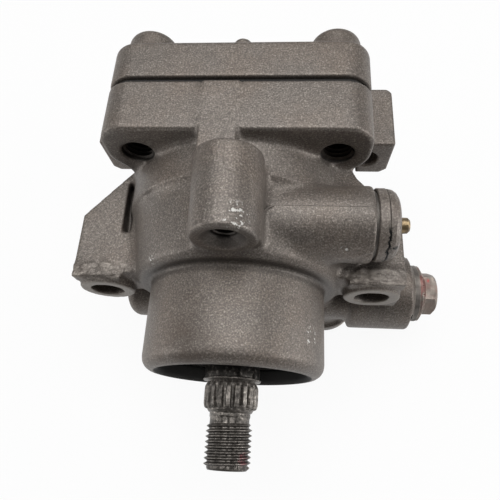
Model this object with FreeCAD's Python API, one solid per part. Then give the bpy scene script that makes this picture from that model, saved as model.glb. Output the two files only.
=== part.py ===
import FreeCAD, Part
import math
import os

# Vane-type power steering pump, in millimetres, +Z up.
# The drive shaft lies along Y with its threaded end towards -Y.
# The origin is on the shaft axis, in the plane of the two front mounting faces.

V = FreeCAD.Vector

# Clearances
PRESS_GAP = 0.02
SLIDE_GAP = 0.02
RUN_GAP = 0.04
PLAY = 0.1
SEAT_GAP = 0.3

# Threads are modelled plain: an empty hole has its tapping size
M10_MAJOR_R = 5.0
M10_TAP_R = 4.4
M6_TAP_R = 2.5

# Bearing nose
NOSE_WALL = 5.4
NOSE_REACH = 26.3
NOSE_ROUND = 4.0
RIM_CHAMFER = 1.0
SHOULDER_Y = 1.8
BEARING_BORE = 17.0
BEARING_OD = 47.0
BEARING_WIDTH = 14.0
RACE_WALL = 3.135
BALL_COUNT = 7
CAGE_RIM = 0.835
BEARING_DEPTH = 6.9
BEARING_SEAL_T = 0.8
HOUSING_RING_T = 1.75
HOUSING_RING_WIDTH = 3.4
HOUSING_RING_GROOVE = 1.1

# Shaft seal
SEAL_OD = 28.0
SEAL_WIDTH = 6.0
SEAL_STANDOFF = 2.0
SEAL_CASE_T = 0.8
GARTER_R = 0.7

# Barrel behind the nose
BARREL_WALL = 5.9
BARREL_STEP = 1.5
BARREL_TAPER = 2.9
BARREL_STEP_Y = 24.4
BARREL_ROUND = 3.0
ROOT_DEPTH = 4.0

# Flange and rear cover
FLANGE_Y = 36.6
FLANGE_T = 17.0
FLANGE_TOP_LIP = 4.2
FLANGE_SIDE_LIP = 2.1
FLANGE_WAIST_LIP = 0.6
FLANGE_CORNER = 8.5
FLANGE_EDGE = 1.0
BOLT_TO_TOP = 12.6
LOBE_R = 10.2
HOLLOW_R = 8.0
GASKET_T = 2.0
GASKET_INSET = 1.6
COVER_T = 14.0
COVER_ROUND = 1.6
PILLAR_R = 7.0
PILLAR_TIP_R = 3.0
PILLAR_REACH = 24.0
PILLAR_DEPTH = 6.4

# Bosses on the cover, with socket-head screws sunk in them
COVER_BOSS_R = 8.4
COVER_BOSS_REACH = 10.2
COVER_BOSS_ROUND = 2.2
COVER_BOSS_FOOT = 3.0
SCREW_HEAD_R = 6.5
SCREW_HEAD_H = 8.0
SCREW_SOCKET_AF = 7.0
SCREW_REACH = 25.5

# Cover ears and the small cast pip between the upper bolts
EAR_TO_BARREL = 5.1
EAR_Z = 3.0
EAR_OUT = 9.2
EAR_LOW = 9.4
EAR_HIGH = 9.2
EAR_REACH = 21.6
EAR_FORWARD = 2.5
EAR_GAP = 0.8
EAR_CHAMFER = 2.4
PIP_R = 3.2
PIP_DROP = 8.1
PIP_REACH = 6.5

# Front mounting lugs with their arms
LUG_R = 9.1
LUG_HOLE_R = 5.5
LUG_LENGTH = 14.0
ARM_STEP = 3.5
ARM_T = 3.6
ARM_SHOULDER_Y = 23.6
ARM_TIP_INSET = 0.5
ARM_TIP_Y = 40.6
ARM_SLOT_Y = 17.5
ARM_SLOT_W = 3.1

# Centre boss on top of the barrel, with a web to the flange
BOSS_GAP = 0.4
BOSS_Y = 1.9
BOSS_LENGTH = 24.4
BOSS_R = 9.1
BOSS_BASE_R = 9.8
BOSS_ROUND = 0.8
BOSS_WALL_Y = 4.4
BOSS_SINK_R = 6.6
BOSS_SINK_DEPTH = 2.4
BOSS_HOLE_R = 3.4
BOSS_HOLE_DEPTH = 18.0
BOSS_WEB_W = 11.0
BOSS_WEB_RISE = 0.45

# Valve bore below the shaft, across the pump
VALVE_Y = 9.9
VALVE_Z = -22.0
VALVE_BORE_R = 8.0
VALVE_WALL = 2.6
VALVE_END_R = 11.8
VALVE_END_L = 10.0
VALVE_END_REACH = 4.9
VALVE_END_WALL = 9.8
VALVE_REACH = 23.7
VALVE_THREAD_R = 9.0
VALVE_BLOCK_REACH = 3.1
VALVE_BLOCK_FRONT = 0.2
VALVE_BLOCK_BACK = 21.0
VALVE_BLOCK_LOW = 17.0
VALVE_BLOCK_CHAMFER = 2.0

# Valve plug with a hexagon and a serrated flange
PLUG_SHANK = 12.0
PLUG_PIN_R = 4.0
PLUG_PIN_LENGTH = 4.5
PLUG_WASHER_R = 10.5
PLUG_WASHER_T = 1.8
PLUG_FLANGE_R = 10.3
PLUG_FLANGE_T = 3.0
PLUG_HEX_AF = 14.0
PLUG_HEX_H = 4.0
PLUG_TEETH = 18
PLUG_TOOTH = 0.7

# Flow valve inside that bore
SPOOL_LENGTH = 37.5
SPOOL_TRAVEL = 10.0
SPOOL_GROOVE = 0.9
SPRING_POCKET_R = 6.0
SPRING_POCKET = 6.0
SPRING_WIRE_R = 0.9
SPRING_TURNS = 7
RELIEF_BORE_R = 3.6
RELIEF_SEAT_R = 5.5
RELIEF_SEAT_L = 7.5
RELIEF_BALL_R = 2.4
RELIEF_HOLDER_L = 6.0
RELIEF_TRAVEL = 1.0
RELIEF_WIRE_R = 0.45
RELIEF_TURNS = 5
ORIFICE_R = 1.2

# Pressure switch boss on the right side, across the pump
SWITCH_Y = 16.4
SWITCH_Z = 24.0
SWITCH_BOSS_R = 11.5
SWITCH_REACH = 1.9
SWITCH_THREAD_R = 7.0
SWITCH_THREAD_L = 12.0
SWITCH_WASHER_T = 0.8
SWITCH_WASHER_R = 10.0
SWITCH_BODY_R = 10.9
SWITCH_BODY_L = 6.5
SWITCH_BAND = 2.9
SWITCH_ROUND = 3.0
SWITCH_CHAMBER_R = 5.5
SWITCH_GUIDE_L = 7.0
SWITCH_PISTON_R = 3.0
SWITCH_PISTON_L = 6.2
SWITCH_TRAVEL = 0.6
SWITCH_WIRE_R = 0.35
SWITCH_TURNS = 4
TERMINAL_R = 2.5
TERMINAL_REACH = 3.6

# Ports on the underside
PRESSURE_X = 31.5
PRESSURE_BOSS_R = 10.6
PRESSURE_TAP_R = 7.25
PRESSURE_TAP_L = 10.0
SUCTION_Y = 39.5
SUCTION_R = 7.5
SUCTION_WALL = 5.0
SUCTION_BOLT_X = 15.0
SUCTION_BOLT_BACK = 4.0
SUCTION_BOLT_L = 8.0

# Pump cartridge
CAVITY_R = 33.0
CAVITY_Y = 21.5
PASSAGE_INSET = 17.0
WAVE_T = 1.2
WAVE_H = 1.9
WAVE_CLEARANCE = 3.5
WAVE_WIDTH = 7.5
FRONT_PLATE_T = 8.0
PLATE_BORE_R = 9.4
REAR_PLATE_BORE_R = 10.4
CAM_CLEARANCE = 3.0
CAM_WALL = 5.75
CAM_WIDTH = 16.0
CAM_LIFT = 2.8
ROTOR_CLEARANCE = 0.45
VANE_COUNT = 10
VANE_CLEARANCE = 0.15
VANE_T = 1.86
VANE_FOOT_R = 12.9
SLOT_ROOT_R = 1.5
DOWEL_R = 2.5
DOWEL_INSET = 4.2
DOWEL_DEPTH = 5.0
KIDNEY_INSET = 2.4
KIDNEY_HALF_W = 1.9
KIDNEY_SWEEP = 44.0
O_RING_R = 1.2
INNER_O_RING_R = 13.0

# Drive shaft
THREAD_R = 7.0
THREAD_LENGTH = 12.7
SHAFT_TIP = 53.3
NECK_R = 6.3
NECK_LENGTH = 2.2
SPLINE_R = 8.45
SPLINE_ROOT_R = 7.6
SPLINE_TEETH = 20
SPLINE_LENGTH = 10.0
LIP_R = 9.1
LIP_T = 1.0
COLLAR_R = 8.7
JOURNAL_R = 8.0
ROTOR_SPLINE_R = 7.6
ROTOR_SPLINE_ROOT_R = 6.9
ROTOR_SPLINE_TEETH = 16
TAIL_R = 6.0
TAIL_SHOULDER_R = 7.0
BUSH_T = 1.5
FRONT_BUSH_L = 12.0
REAR_BUSH_L = 8.0
SHAFT_RING_T = 1.2
SHAFT_RING_WIDTH = 2.6
RING_GROOVE_DEPTH = 0.6

# Places along the shaft that follow from the sizes above
RIM_Y = -NOSE_REACH
BEARING_Y = RIM_Y + BEARING_DEPTH
BEARING_END = BEARING_Y + BEARING_WIDTH
SEAL_Y = BEARING_END + SEAL_STANDOFF
SEAL_FLOOR = SEAL_Y + SEAL_WIDTH + PLAY
FLANGE_END = FLANGE_Y + FLANGE_T
COVER_Y = FLANGE_END + GASKET_T
COVER_END = COVER_Y + COVER_T
FRONT_PLATE_Y = CAVITY_Y + WAVE_H + PLAY
CAM_Y = FRONT_PLATE_Y + FRONT_PLATE_T
CAM_END = CAM_Y + CAM_WIDTH
REAR_BUSH_Y = COVER_Y + BUSH_T
REAR_BUSH_END = REAR_BUSH_Y + REAR_BUSH_L
SCREW_SEAT_Y = COVER_END + COVER_BOSS_REACH - SCREW_HEAD_H - SEAT_GAP
LIP_END = RIM_Y - 0.7
LIP_Y = LIP_END - LIP_T
SPLINE_END = LIP_Y - 0.4
SPLINE_Y = SPLINE_END - SPLINE_LENGTH
THREAD_END = -SHAFT_TIP + THREAD_LENGTH
BEARING_R = BEARING_OD / 2
SHAFT_R = BEARING_BORE / 2
SEAL_R = SEAL_OD / 2
BEARING_PITCH = (BEARING_BORE + BEARING_OD) / 2
BALL_D = (BEARING_OD - BEARING_BORE) / 2 - 2 * RACE_WALL
CAGE_HALF_W = BALL_D / 2 + CAGE_RIM
NOSE_R = BEARING_R + NOSE_WALL
PLATE_R = CAVITY_R - SEAT_GAP
WAVE_OUT_R = CAVITY_R - WAVE_CLEARANCE
WAVE_IN_R = WAVE_OUT_R - WAVE_WIDTH
CAM_R = CAVITY_R - CAM_CLEARANCE
CAM_MIN_R = CAM_R - CAM_WALL - CAM_LIFT
ROTOR_R = CAM_MIN_R - ROTOR_CLEARANCE
VANE_TIP_R = CAM_MIN_R - VANE_CLEARANCE
VANE_LENGTH = VANE_TIP_R - VANE_FOOT_R
PASSAGE_X = CAVITY_R - PASSAGE_INSET
KIDNEY_R = CAM_MIN_R - KIDNEY_INSET
DOWEL_X = CAM_R - DOWEL_INSET
BARREL_RING_R = CAVITY_R + BARREL_WALL
BARREL_STEP_R = BARREL_RING_R - BARREL_STEP
BARREL_FRONT_R = BARREL_STEP_R - BARREL_TAPER
FLANGE_HALF_H = BARREL_RING_R + FLANGE_TOP_LIP
FLANGE_HALF_W = BARREL_RING_R + FLANGE_SIDE_LIP
FLANGE_SIDE_R = BARREL_RING_R + FLANGE_WAIST_LIP
BOLT_X = FLANGE_HALF_W - LOBE_R
BOLT_Z = FLANGE_HALF_H - BOLT_TO_TOP
PIP_Z = FLANGE_HALF_H - PIP_DROP
PILLAR_OFFSET = BARREL_RING_R - PILLAR_DEPTH
BOSS_X = 0.0
BOSS_Z = BARREL_FRONT_R + BOSS_GAP + BOSS_R
BOSS_END_Y = BOSS_Y + BOSS_LENGTH
EAR_X = BARREL_RING_R + EAR_TO_BARREL
EAR_OUT_X = EAR_X + EAR_OUT
ARM_TIP_X = BARREL_RING_R - ARM_TIP_INSET
VALVE_BOSS_R = VALVE_BORE_R + VALVE_WALL
VALVE_BOSS_LEFT = -BARREL_RING_R - VALVE_END_REACH
VALVE_BLIND_X = VALVE_BOSS_LEFT + VALVE_END_WALL
VALVE_MOUTH_X = BARREL_RING_R + VALVE_REACH
VALVE_BLOCK_LEFT = BARREL_RING_R + VALVE_BLOCK_REACH
VALVE_BLOCK_BOTTOM = VALVE_Z - VALVE_BLOCK_LOW
SWITCH_FACE_X = BARREL_RING_R + SWITCH_REACH
EAR_TOP = EAR_Z + EAR_HIGH
EAR_BOTTOM = EAR_Z - EAR_LOW
BASE_Z = -FLANGE_HALF_H
ROOT_X = BARREL_FRONT_R - ROOT_DEPTH
SPOOL_END_X = VALVE_MOUTH_X - PLUG_SHANK - PLUG_PIN_LENGTH - SEAT_GAP
SPOOL_X = SPOOL_END_X - SPOOL_LENGTH
SWITCH_BODY_X = SWITCH_FACE_X + SWITCH_WASHER_T
SWITCH_END_X = SWITCH_BODY_X + SWITCH_BODY_L

parts = {}


# Basic shapes along the three axes
def cyl_x(r, x0, x1, y, z):
    return Part.makeCylinder(r, x1 - x0, V(x0, y, z), V(1, 0, 0))


def cyl_y(r, y0, y1, x=0.0, z=0.0):
    return Part.makeCylinder(r, y1 - y0, V(x, y0, z), V(0, 1, 0))


def cyl_z(r, z0, z1, x, y):
    return Part.makeCylinder(r, z1 - z0, V(x, y, z0), V(0, 0, 1))


def cone_y(r0, r1, y0, y1, x=0.0, z=0.0):
    return Part.makeCone(r0, r1, y1 - y0, V(x, y0, z), V(0, 1, 0))


def cone_x(r0, r1, x0, x1, y, z):
    return Part.makeCone(r0, r1, x1 - x0, V(x0, y, z), V(1, 0, 0))


def ring_y(r_out, r_in, y0, y1, x=0.0, z=0.0):
    return cyl_y(r_out, y0, y1, x, z).cut(cyl_y(r_in, y0 - 1, y1 + 1, x, z))


def ring_x(r_out, r_in, x0, x1, y, z):
    return cyl_x(r_out, x0, x1, y, z).cut(cyl_x(r_in, x0 - 1, x1 + 1, y, z))


def block(x0, x1, y0, y1, z0, z1):
    return Part.makeBox(x1 - x0, y1 - y0, z1 - z0, V(x0, y0, z0))


def turned(profile):
    """A solid turned about the shaft axis from (y, radius) points."""
    points = [V(r, y, 0) for y, r in profile]
    face = Part.Face(Part.makePolygon(points + [points[0]]))
    return face.revolve(V(0, 0, 0), V(0, 1, 0), 360)


def turned_x(profile, y, z):
    """A solid turned about a line along X from (x, radius) points."""
    points = [V(x, y + r, z) for x, r in profile]
    face = Part.Face(Part.makePolygon(points + [points[0]]))
    return face.revolve(V(0, y, z), V(1, 0, 0), 360)


def plate_xz(points, y0, y1):
    wire = Part.makePolygon([V(x, y0, z) for x, z in points] + [V(points[0][0], y0, points[0][1])])
    return Part.Face(wire).extrude(V(0, y1 - y0, 0))


def plate_xy(points, z0, z1):
    wire = Part.makePolygon([V(x, y, z0) for x, y in points] + [V(points[0][0], points[0][1], z0)])
    return Part.Face(wire).extrude(V(0, 0, z1 - z0))


def hexagon_x(across_flats, x0, x1, y, z):
    corner = across_flats / math.sqrt(3)
    points = [V(x0, y + corner * math.cos(math.radians(60 * i)), z + corner * math.sin(math.radians(60 * i)))
              for i in range(7)]
    return Part.Face(Part.makePolygon(points)).extrude(V(x1 - x0, 0, 0))


def hexagon_y(across_flats, y0, y1, x, z):
    corner = across_flats / math.sqrt(3)
    points = [V(x + corner * math.cos(math.radians(60 * i)), y0, z + corner * math.sin(math.radians(60 * i)))
              for i in range(7)]
    return Part.Face(Part.makePolygon(points)).extrude(V(0, y1 - y0, 0))


def fuse(shapes):
    return shapes[0].multiFuse(shapes[1:]).removeSplitter()


def both_sides(shape):
    return [shape, shape.mirror(V(0, 0, 0), V(1, 0, 0))]


def edges_at(shape, test):
    return [e for e in shape.Edges if test(e.BoundBox)]


def flat_at_y(y):
    return lambda b: abs(b.YMin - y) < 0.01 and abs(b.YMax - y) < 0.01


def bolt_places():
    return [(sx * BOLT_X, sz * BOLT_Z) for sx in (-1, 1) for sz in (-1, 1)]


# Shared outline of the flange, gasket and cover
def flange_outline(inset, y0, y1):
    """Plate with straight top and bottom, four bolt lobes and a round waist, all joined by tangent arcs."""
    half_w = FLANGE_HALF_W - inset
    half_h = FLANGE_HALF_H - inset
    corner = FLANGE_CORNER - inset
    lobe = LOBE_R - inset
    waist = FLANGE_SIDE_R - inset
    hollow = HOLLOW_R + inset
    lobe_x = BOLT_X
    # The hollow between lobe and waist touches both circles
    span = math.hypot(lobe_x, BOLT_Z)
    along = ((waist + hollow) ** 2 - (lobe + hollow) ** 2 + span ** 2) / (2 * span)
    across = math.sqrt((waist + hollow) ** 2 - along ** 2)
    ux, uz = lobe_x / span, BOLT_Z / span
    hx, hz = along * ux + across * uz, along * uz - across * ux
    on_lobe = (lobe_x + lobe * (hx - lobe_x) / (lobe + hollow), BOLT_Z + lobe * (hz - BOLT_Z) / (lobe + hollow))
    on_waist = (waist * hx / (waist + hollow), waist * hz / (waist + hollow))
    mid_x, mid_z = (on_lobe[0] + on_waist[0]) / 2 - hx, (on_lobe[1] + on_waist[1]) / 2 - hz
    reach = hollow / math.hypot(mid_x, mid_z)
    hollow_mid = (hx + mid_x * reach, hz + mid_z * reach)
    lobe_angle = math.atan2(on_lobe[1] - BOLT_Z, on_lobe[0] - lobe_x) / 2
    lobe_mid = (lobe_x + lobe * math.cos(lobe_angle), BOLT_Z + lobe * math.sin(lobe_angle))
    cx, cz = half_w - corner, half_h - corner
    corner_mid = (cx + corner * math.sqrt(0.5), cz + corner * math.sqrt(0.5))

    def at(point, sx, sz):
        return V(sx * point[0], y0, sz * point[1])

    def arc(p0, p1, p2):
        return Part.Arc(p0, p1, p2).toShape()

    edges = [Part.makeLine(at((cx, half_h), -1, 1), at((cx, half_h), 1, 1)),
             Part.makeLine(at((cx, half_h), -1, -1), at((cx, half_h), 1, -1))]
    for sx in (-1, 1):
        edges.append(arc(at(on_waist, sx, 1), at((waist, 0.0), sx, 1), at(on_waist, sx, -1)))
        for sz in (-1, 1):
            edges.append(arc(at((cx, half_h), sx, sz), at(corner_mid, sx, sz), at((half_w, cz), sx, sz)))
            edges.append(Part.makeLine(at((half_w, cz), sx, sz), at((half_w, BOLT_Z), sx, sz)))
            edges.append(arc(at((half_w, BOLT_Z), sx, sz), at(lobe_mid, sx, sz), at(on_lobe, sx, sz)))
            edges.append(arc(at(on_lobe, sx, sz), at(hollow_mid, sx, sz), at(on_waist, sx, sz)))
    wire = Part.Wire(Part.__sortEdges__(edges))
    return Part.Face(wire).extrude(V(0, y1 - y0, 0))


# Front housing
def barrel():
    profile = [(RIM_Y, 5.0), (RIM_Y, NOSE_R - NOSE_ROUND)]
    for i in range(1, 5):
        a = math.radians(22.5 * i)
        profile.append((RIM_Y + NOSE_ROUND * (1 - math.cos(a)), NOSE_R - NOSE_ROUND * (1 - math.sin(a))))
    profile += [(SHOULDER_Y, NOSE_R), (SHOULDER_Y, BARREL_FRONT_R - BARREL_ROUND)]
    for i in range(1, 4):
        a = math.radians(30 * i)
        profile.append((SHOULDER_Y + BARREL_ROUND * (1 - math.cos(a)),
                        BARREL_FRONT_R - BARREL_ROUND * (1 - math.sin(a))))
    profile += [(BARREL_STEP_Y, BARREL_STEP_R), (BARREL_STEP_Y + 0.7, BARREL_RING_R),
                (FLANGE_END, BARREL_RING_R), (FLANGE_END, 5.0)]
    return turned(profile)


def bolt_pillars():
    """Tapering pillars that carry the bolt lobes into the barrel."""
    shapes = []
    for angle in (35, 145, -35, -145):
        a = math.radians(angle)
        x, z = PILLAR_OFFSET * math.cos(a), PILLAR_OFFSET * math.sin(a)
        shapes.append(cone_y(PILLAR_TIP_R, PILLAR_R, FLANGE_Y - PILLAR_REACH, FLANGE_Y + 1, x, z))
    return shapes


def lug_and_arm():
    """Right-hand lug: a drilled boss, its web, and a flat arm that runs back to the flange."""
    boss = cyl_y(LUG_R, 0.0, LUG_LENGTH, EAR_X, EAR_Z)
    boss = boss.makeChamfer(0.5, edges_at(boss, flat_at_y(0.0)))
    web = block(ROOT_X, EAR_X, ARM_STEP, LUG_LENGTH, EAR_BOTTOM, EAR_TOP - 0.2)
    outline = [(ROOT_X, ARM_STEP), (EAR_OUT_X, ARM_STEP), (EAR_OUT_X, ARM_SHOULDER_Y), (ARM_TIP_X, ARM_TIP_Y),
               (ROOT_X, ARM_TIP_Y)]
    arm = plate_xy(outline, EAR_TOP - ARM_T, EAR_TOP)
    slot_out = EAR_X - LUG_R + 4.2
    slot = block(slot_out - 6 * ARM_SLOT_W, slot_out, ARM_SLOT_Y, FLANGE_Y, EAR_TOP - ARM_T - 1, EAR_TOP + 1)
    slot = slot.cut(cyl_y(BARREL_RING_R - 1.0, ARM_SLOT_Y - 1, FLANGE_Y + 1))
    rib = plate_xy([(ROOT_X, ARM_STEP), (EAR_OUT_X, ARM_STEP), (EAR_OUT_X, LUG_LENGTH), (ROOT_X, ARM_SLOT_Y)],
                   EAR_Z, EAR_TOP - ARM_T + 0.5)
    slot_floor = block(ROOT_X, slot_out + 1.0, ARM_SLOT_Y - 1, FLANGE_Y + 1, EAR_BOTTOM + 1.0, EAR_Z - 0.5)
    return fuse([boss, web, arm.cut(slot), rib, slot_floor])


def centre_boss():
    """Round boss above the barrel, on upright walls, with a flat web back to the flange."""
    boss = cone_y(BOSS_R, BOSS_BASE_R, BOSS_Y, BOSS_END_Y, BOSS_X, BOSS_Z)
    boss = boss.makeFillet(BOSS_ROUND, edges_at(boss, lambda b: b.YLength < 0.01 and b.XLength > BOSS_R))
    walls = block(BOSS_X - BOSS_BASE_R + 0.1, BOSS_X + BOSS_BASE_R - 0.1, BOSS_WALL_Y, BOSS_END_Y - BOSS_ROUND,
                  BARREL_FRONT_R - BOSS_BASE_R, BOSS_Z)
    web = block(BOSS_X - BOSS_BASE_R, BOSS_X - BOSS_BASE_R + BOSS_WEB_W, BOSS_Y + BOSS_LENGTH / 2, FLANGE_END,
                CAVITY_R + BARREL_WALL / 2, FLANGE_HALF_H + BOSS_WEB_RISE)
    return [boss, walls, web]


def valve_boss():
    """Cross boss for the flow valve, with a squared end that carries the plug."""
    barrel_part = cyl_x(VALVE_BOSS_R, VALVE_BOSS_LEFT + VALVE_END_L - 1, VALVE_BLOCK_LEFT + 1, VALVE_Y, VALVE_Z)
    end = cyl_x(VALVE_END_R, VALVE_BOSS_LEFT, VALVE_BOSS_LEFT + VALVE_END_L, VALVE_Y, VALVE_Z)
    end = end.makeFillet(4.5, edges_at(end, lambda b: abs(b.XMax - VALVE_BOSS_LEFT) < 0.01 and b.ZLength > 1))
    outline = [(VALVE_BLOCK_LEFT, VALVE_BLOCK_BOTTOM), (VALVE_MOUTH_X - VALVE_BLOCK_CHAMFER, VALVE_BLOCK_BOTTOM),
               (VALVE_MOUTH_X, VALVE_BLOCK_BOTTOM + VALVE_BLOCK_CHAMFER), (VALVE_MOUTH_X, VALVE_Z + PLUG_WASHER_R),
               (EAR_OUT_X + 3.5, EAR_BOTTOM + 1.5), (EAR_OUT_X, EAR_Z), (VALVE_BLOCK_LEFT, EAR_Z)]
    squared = plate_xz(outline, VALVE_BLOCK_FRONT, VALVE_BLOCK_BACK)
    lowest = edges_at(squared, lambda b: b.XLength > 10 and b.ZMax < VALVE_BLOCK_BOTTOM + 0.01)
    squared = squared.makeFillet(1.5, lowest)
    return [barrel_part, end, squared]


def switch_boss():
    boss = cyl_x(SWITCH_BOSS_R, BOSS_X + 5.0, SWITCH_FACE_X, SWITCH_Y, SWITCH_Z)
    boss = boss.makeChamfer(0.5, edges_at(boss, lambda b: abs(b.XMin - SWITCH_FACE_X) < 0.01 and b.ZLength > 1))
    back = SWITCH_Y + SWITCH_BOSS_R
    near = ROOT_X - SWITCH_BOSS_R
    shoulder = plate_xy([(near, SWITCH_Y), (SWITCH_FACE_X - 1.2, SWITCH_Y), (SWITCH_FACE_X - 1.2, back + 1.5),
                         (SWITCH_FACE_X - 5.0, FLANGE_Y), (near, FLANGE_Y)], EAR_TOP - 1, SWITCH_Z - 1)
    foot = plate_xy([(near, SWITCH_Y - 8.5), (SWITCH_FACE_X - 2.0, SWITCH_Y - 8.5),
                     (SWITCH_FACE_X - 2.0, SWITCH_Y + 8), (near, SWITCH_Y + 8)], EAR_TOP - 3, SWITCH_Z - 5)
    return [boss, shoulder, foot]


def underside_ports():
    pressure = cyl_z(PRESSURE_BOSS_R, BASE_Z, VALVE_Z, PRESSURE_X, VALVE_Y)
    pressure = pressure.makeChamfer(0.8, edges_at(pressure, lambda b: abs(b.ZMax - BASE_Z) < 0.01))
    suction = cyl_z(SUCTION_R + SUCTION_WALL, BASE_Z, -CAVITY_R, 0.0, SUCTION_Y)
    return [pressure, suction]


def make_front_housing():
    flange = flange_outline(0.0, FLANGE_Y, FLANGE_END)
    flange = flange.makeFillet(FLANGE_EDGE, edges_at(flange, flat_at_y(FLANGE_Y)))
    body = fuse([barrel(), flange] + bolt_pillars() + centre_boss() + valve_boss() + switch_boss()
                + underside_ports() + both_sides(lug_and_arm()))
    cuts = []
    # The shoulder beside the pilot is turned flat
    cuts.append(ring_y(BARREL_FRONT_R, NOSE_R, RIM_Y, SHOULDER_Y))
    # Bearing nose, seal recess and shaft bore
    cuts.append(cyl_y(BEARING_R, RIM_Y - 1, BEARING_END))
    cuts.append(cone_y(BEARING_R + RIM_CHAMFER, BEARING_R, RIM_Y - 0.001, RIM_Y + RIM_CHAMFER))
    ring_y0 = BEARING_Y - HOUSING_RING_T - 2 * PLAY
    cuts.append(cyl_y(BEARING_R + HOUSING_RING_GROOVE, ring_y0, BEARING_Y))
    cuts.append(cyl_y(SEAL_R, BEARING_END - 1, SEAL_FLOOR))
    cuts.append(cyl_y(JOURNAL_R + BUSH_T + PRESS_GAP, SEAL_FLOOR - 1, CAVITY_Y + 1))
    cuts.append(cyl_y(SEAL_R + 3.5, BEARING_END - 1, BEARING_END + 1.2))
    # Cartridge cavity
    cuts.append(cyl_y(CAVITY_R, CAVITY_Y, FLANGE_END + 1))
    # Tapped holes for the cover bolts
    for x, z in bolt_places():
        cuts.append(cyl_y(M10_MAJOR_R + PLAY, FLANGE_Y - 1, FLANGE_END + 1, x, z))
    # Centre boss thread with its countersink
    cuts.append(cyl_y(BOSS_HOLE_R, BOSS_Y - 1, BOSS_Y + BOSS_HOLE_DEPTH, BOSS_X, BOSS_Z))
    cuts.append(cone_y(BOSS_SINK_R, BOSS_HOLE_R, BOSS_Y - 0.001, BOSS_Y + BOSS_SINK_DEPTH, BOSS_X, BOSS_Z))
    # Mounting lugs
    for side in (-1, 1):
        cuts.append(cyl_y(LUG_HOLE_R, -1, VALVE_BLOCK_BACK + 1, side * EAR_X, EAR_Z))
        cuts.append(cyl_y(LUG_R + 0.5, LUG_LENGTH, VALVE_BLOCK_BACK + 3, side * EAR_X, EAR_Z)
                    .common(block(-70, 70, LUG_LENGTH, VALVE_BLOCK_BACK + 3, EAR_BOTTOM - 3, EAR_TOP - ARM_T)))
    # Valve bore with its plug thread
    cuts.append(cyl_x(VALVE_BORE_R, VALVE_BLIND_X, VALVE_MOUTH_X + 1, VALVE_Y, VALVE_Z))
    cuts.append(cyl_x(VALVE_THREAD_R, VALVE_MOUTH_X - PLUG_SHANK - PLAY, VALVE_MOUTH_X + 1, VALVE_Y, VALVE_Z))
    # Pressure switch thread and the drilling to the pressure chamber
    cuts.append(cyl_x(SWITCH_THREAD_R, SWITCH_FACE_X - SWITCH_THREAD_L - PLAY, SWITCH_FACE_X + 1,
                      SWITCH_Y, SWITCH_Z))
    cuts.append(cyl_x(ORIFICE_R + 0.8, PASSAGE_X - 2.0, SWITCH_FACE_X, SWITCH_Y, SWITCH_Z))
    cuts.append(cyl_y(ORIFICE_R + 0.8, SWITCH_Y, CAVITY_Y + 1, PASSAGE_X, SWITCH_Z))
    # Passage from the pressure chamber to the valve bore
    cuts.append(cyl_y(ORIFICE_R + 1.3, VALVE_Y, CAVITY_Y + 1, PASSAGE_X, VALVE_Z))
    # Ports on the underside
    cuts.append(cyl_z(PRESSURE_TAP_R, BASE_Z - 1, BASE_Z + PRESSURE_TAP_L, PRESSURE_X, VALVE_Y))
    cuts.append(cyl_z(ORIFICE_R + 2.3, BASE_Z, VALVE_Z, PRESSURE_X, VALVE_Y))
    cuts.append(cyl_z(SUCTION_R, BASE_Z - 1, -25.0, 0.0, SUCTION_Y))
    for side in (-1, 1):
        cuts.append(cyl_z(M6_TAP_R, BASE_Z - 1, BASE_Z + SUCTION_BOLT_L, side * SUCTION_BOLT_X,
                          SUCTION_Y + SUCTION_BOLT_BACK))
    return body.cut(cuts)


# Rear cover with its ears
def cover_ear():
    x0 = FLANGE_SIDE_R - 6
    outline = [(x0, EAR_BOTTOM), (EAR_OUT_X - EAR_CHAMFER, EAR_BOTTOM), (EAR_OUT_X, EAR_BOTTOM + EAR_CHAMFER),
               (EAR_OUT_X, EAR_TOP), (x0, EAR_TOP)]
    ear = plate_xz(outline, COVER_Y - EAR_FORWARD, COVER_Y + EAR_REACH)
    ear = ear.makeFillet(2.5, edges_at(ear, lambda b: b.ZLength > 5 and abs(b.YMax - COVER_Y - EAR_REACH) < 0.01
                                       and b.YLength < 0.01 and b.XMax > EAR_OUT_X - 1))
    beside = block(x0 - 1, FLANGE_HALF_W + EAR_GAP, COVER_Y - EAR_FORWARD - 1, COVER_Y, EAR_BOTTOM - 1, EAR_TOP + 1)
    return ear.cut([cyl_y(FLANGE_SIDE_R - 1.5, COVER_END - 0.5, COVER_Y + EAR_REACH + 1), beside])


def cover_boss(x, z):
    """Round boss with a rounded end and a hollow foot."""
    end = COVER_END + COVER_BOSS_REACH
    profile = [(COVER_END - 1, 0.0), (COVER_END - 1, COVER_BOSS_R + COVER_BOSS_FOOT)]
    for i in range(5):
        a = math.radians(22.5 * i)
        profile.append((COVER_END + COVER_BOSS_FOOT * (1 - math.cos(a)),
                        COVER_BOSS_R + COVER_BOSS_FOOT * (1 - math.sin(a))))
    for i in range(4):
        a = math.radians(30 * i)
        profile.append((end - COVER_BOSS_ROUND * (1 - math.sin(a)), COVER_BOSS_R - COVER_BOSS_ROUND * (1 - math.cos(a))))
    profile.append((end, 0.0))
    boss = turned(profile)
    boss.translate(V(x, 0, z))
    return boss.common(flange_outline(0.2, COVER_END - 2, end + 1))


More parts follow.
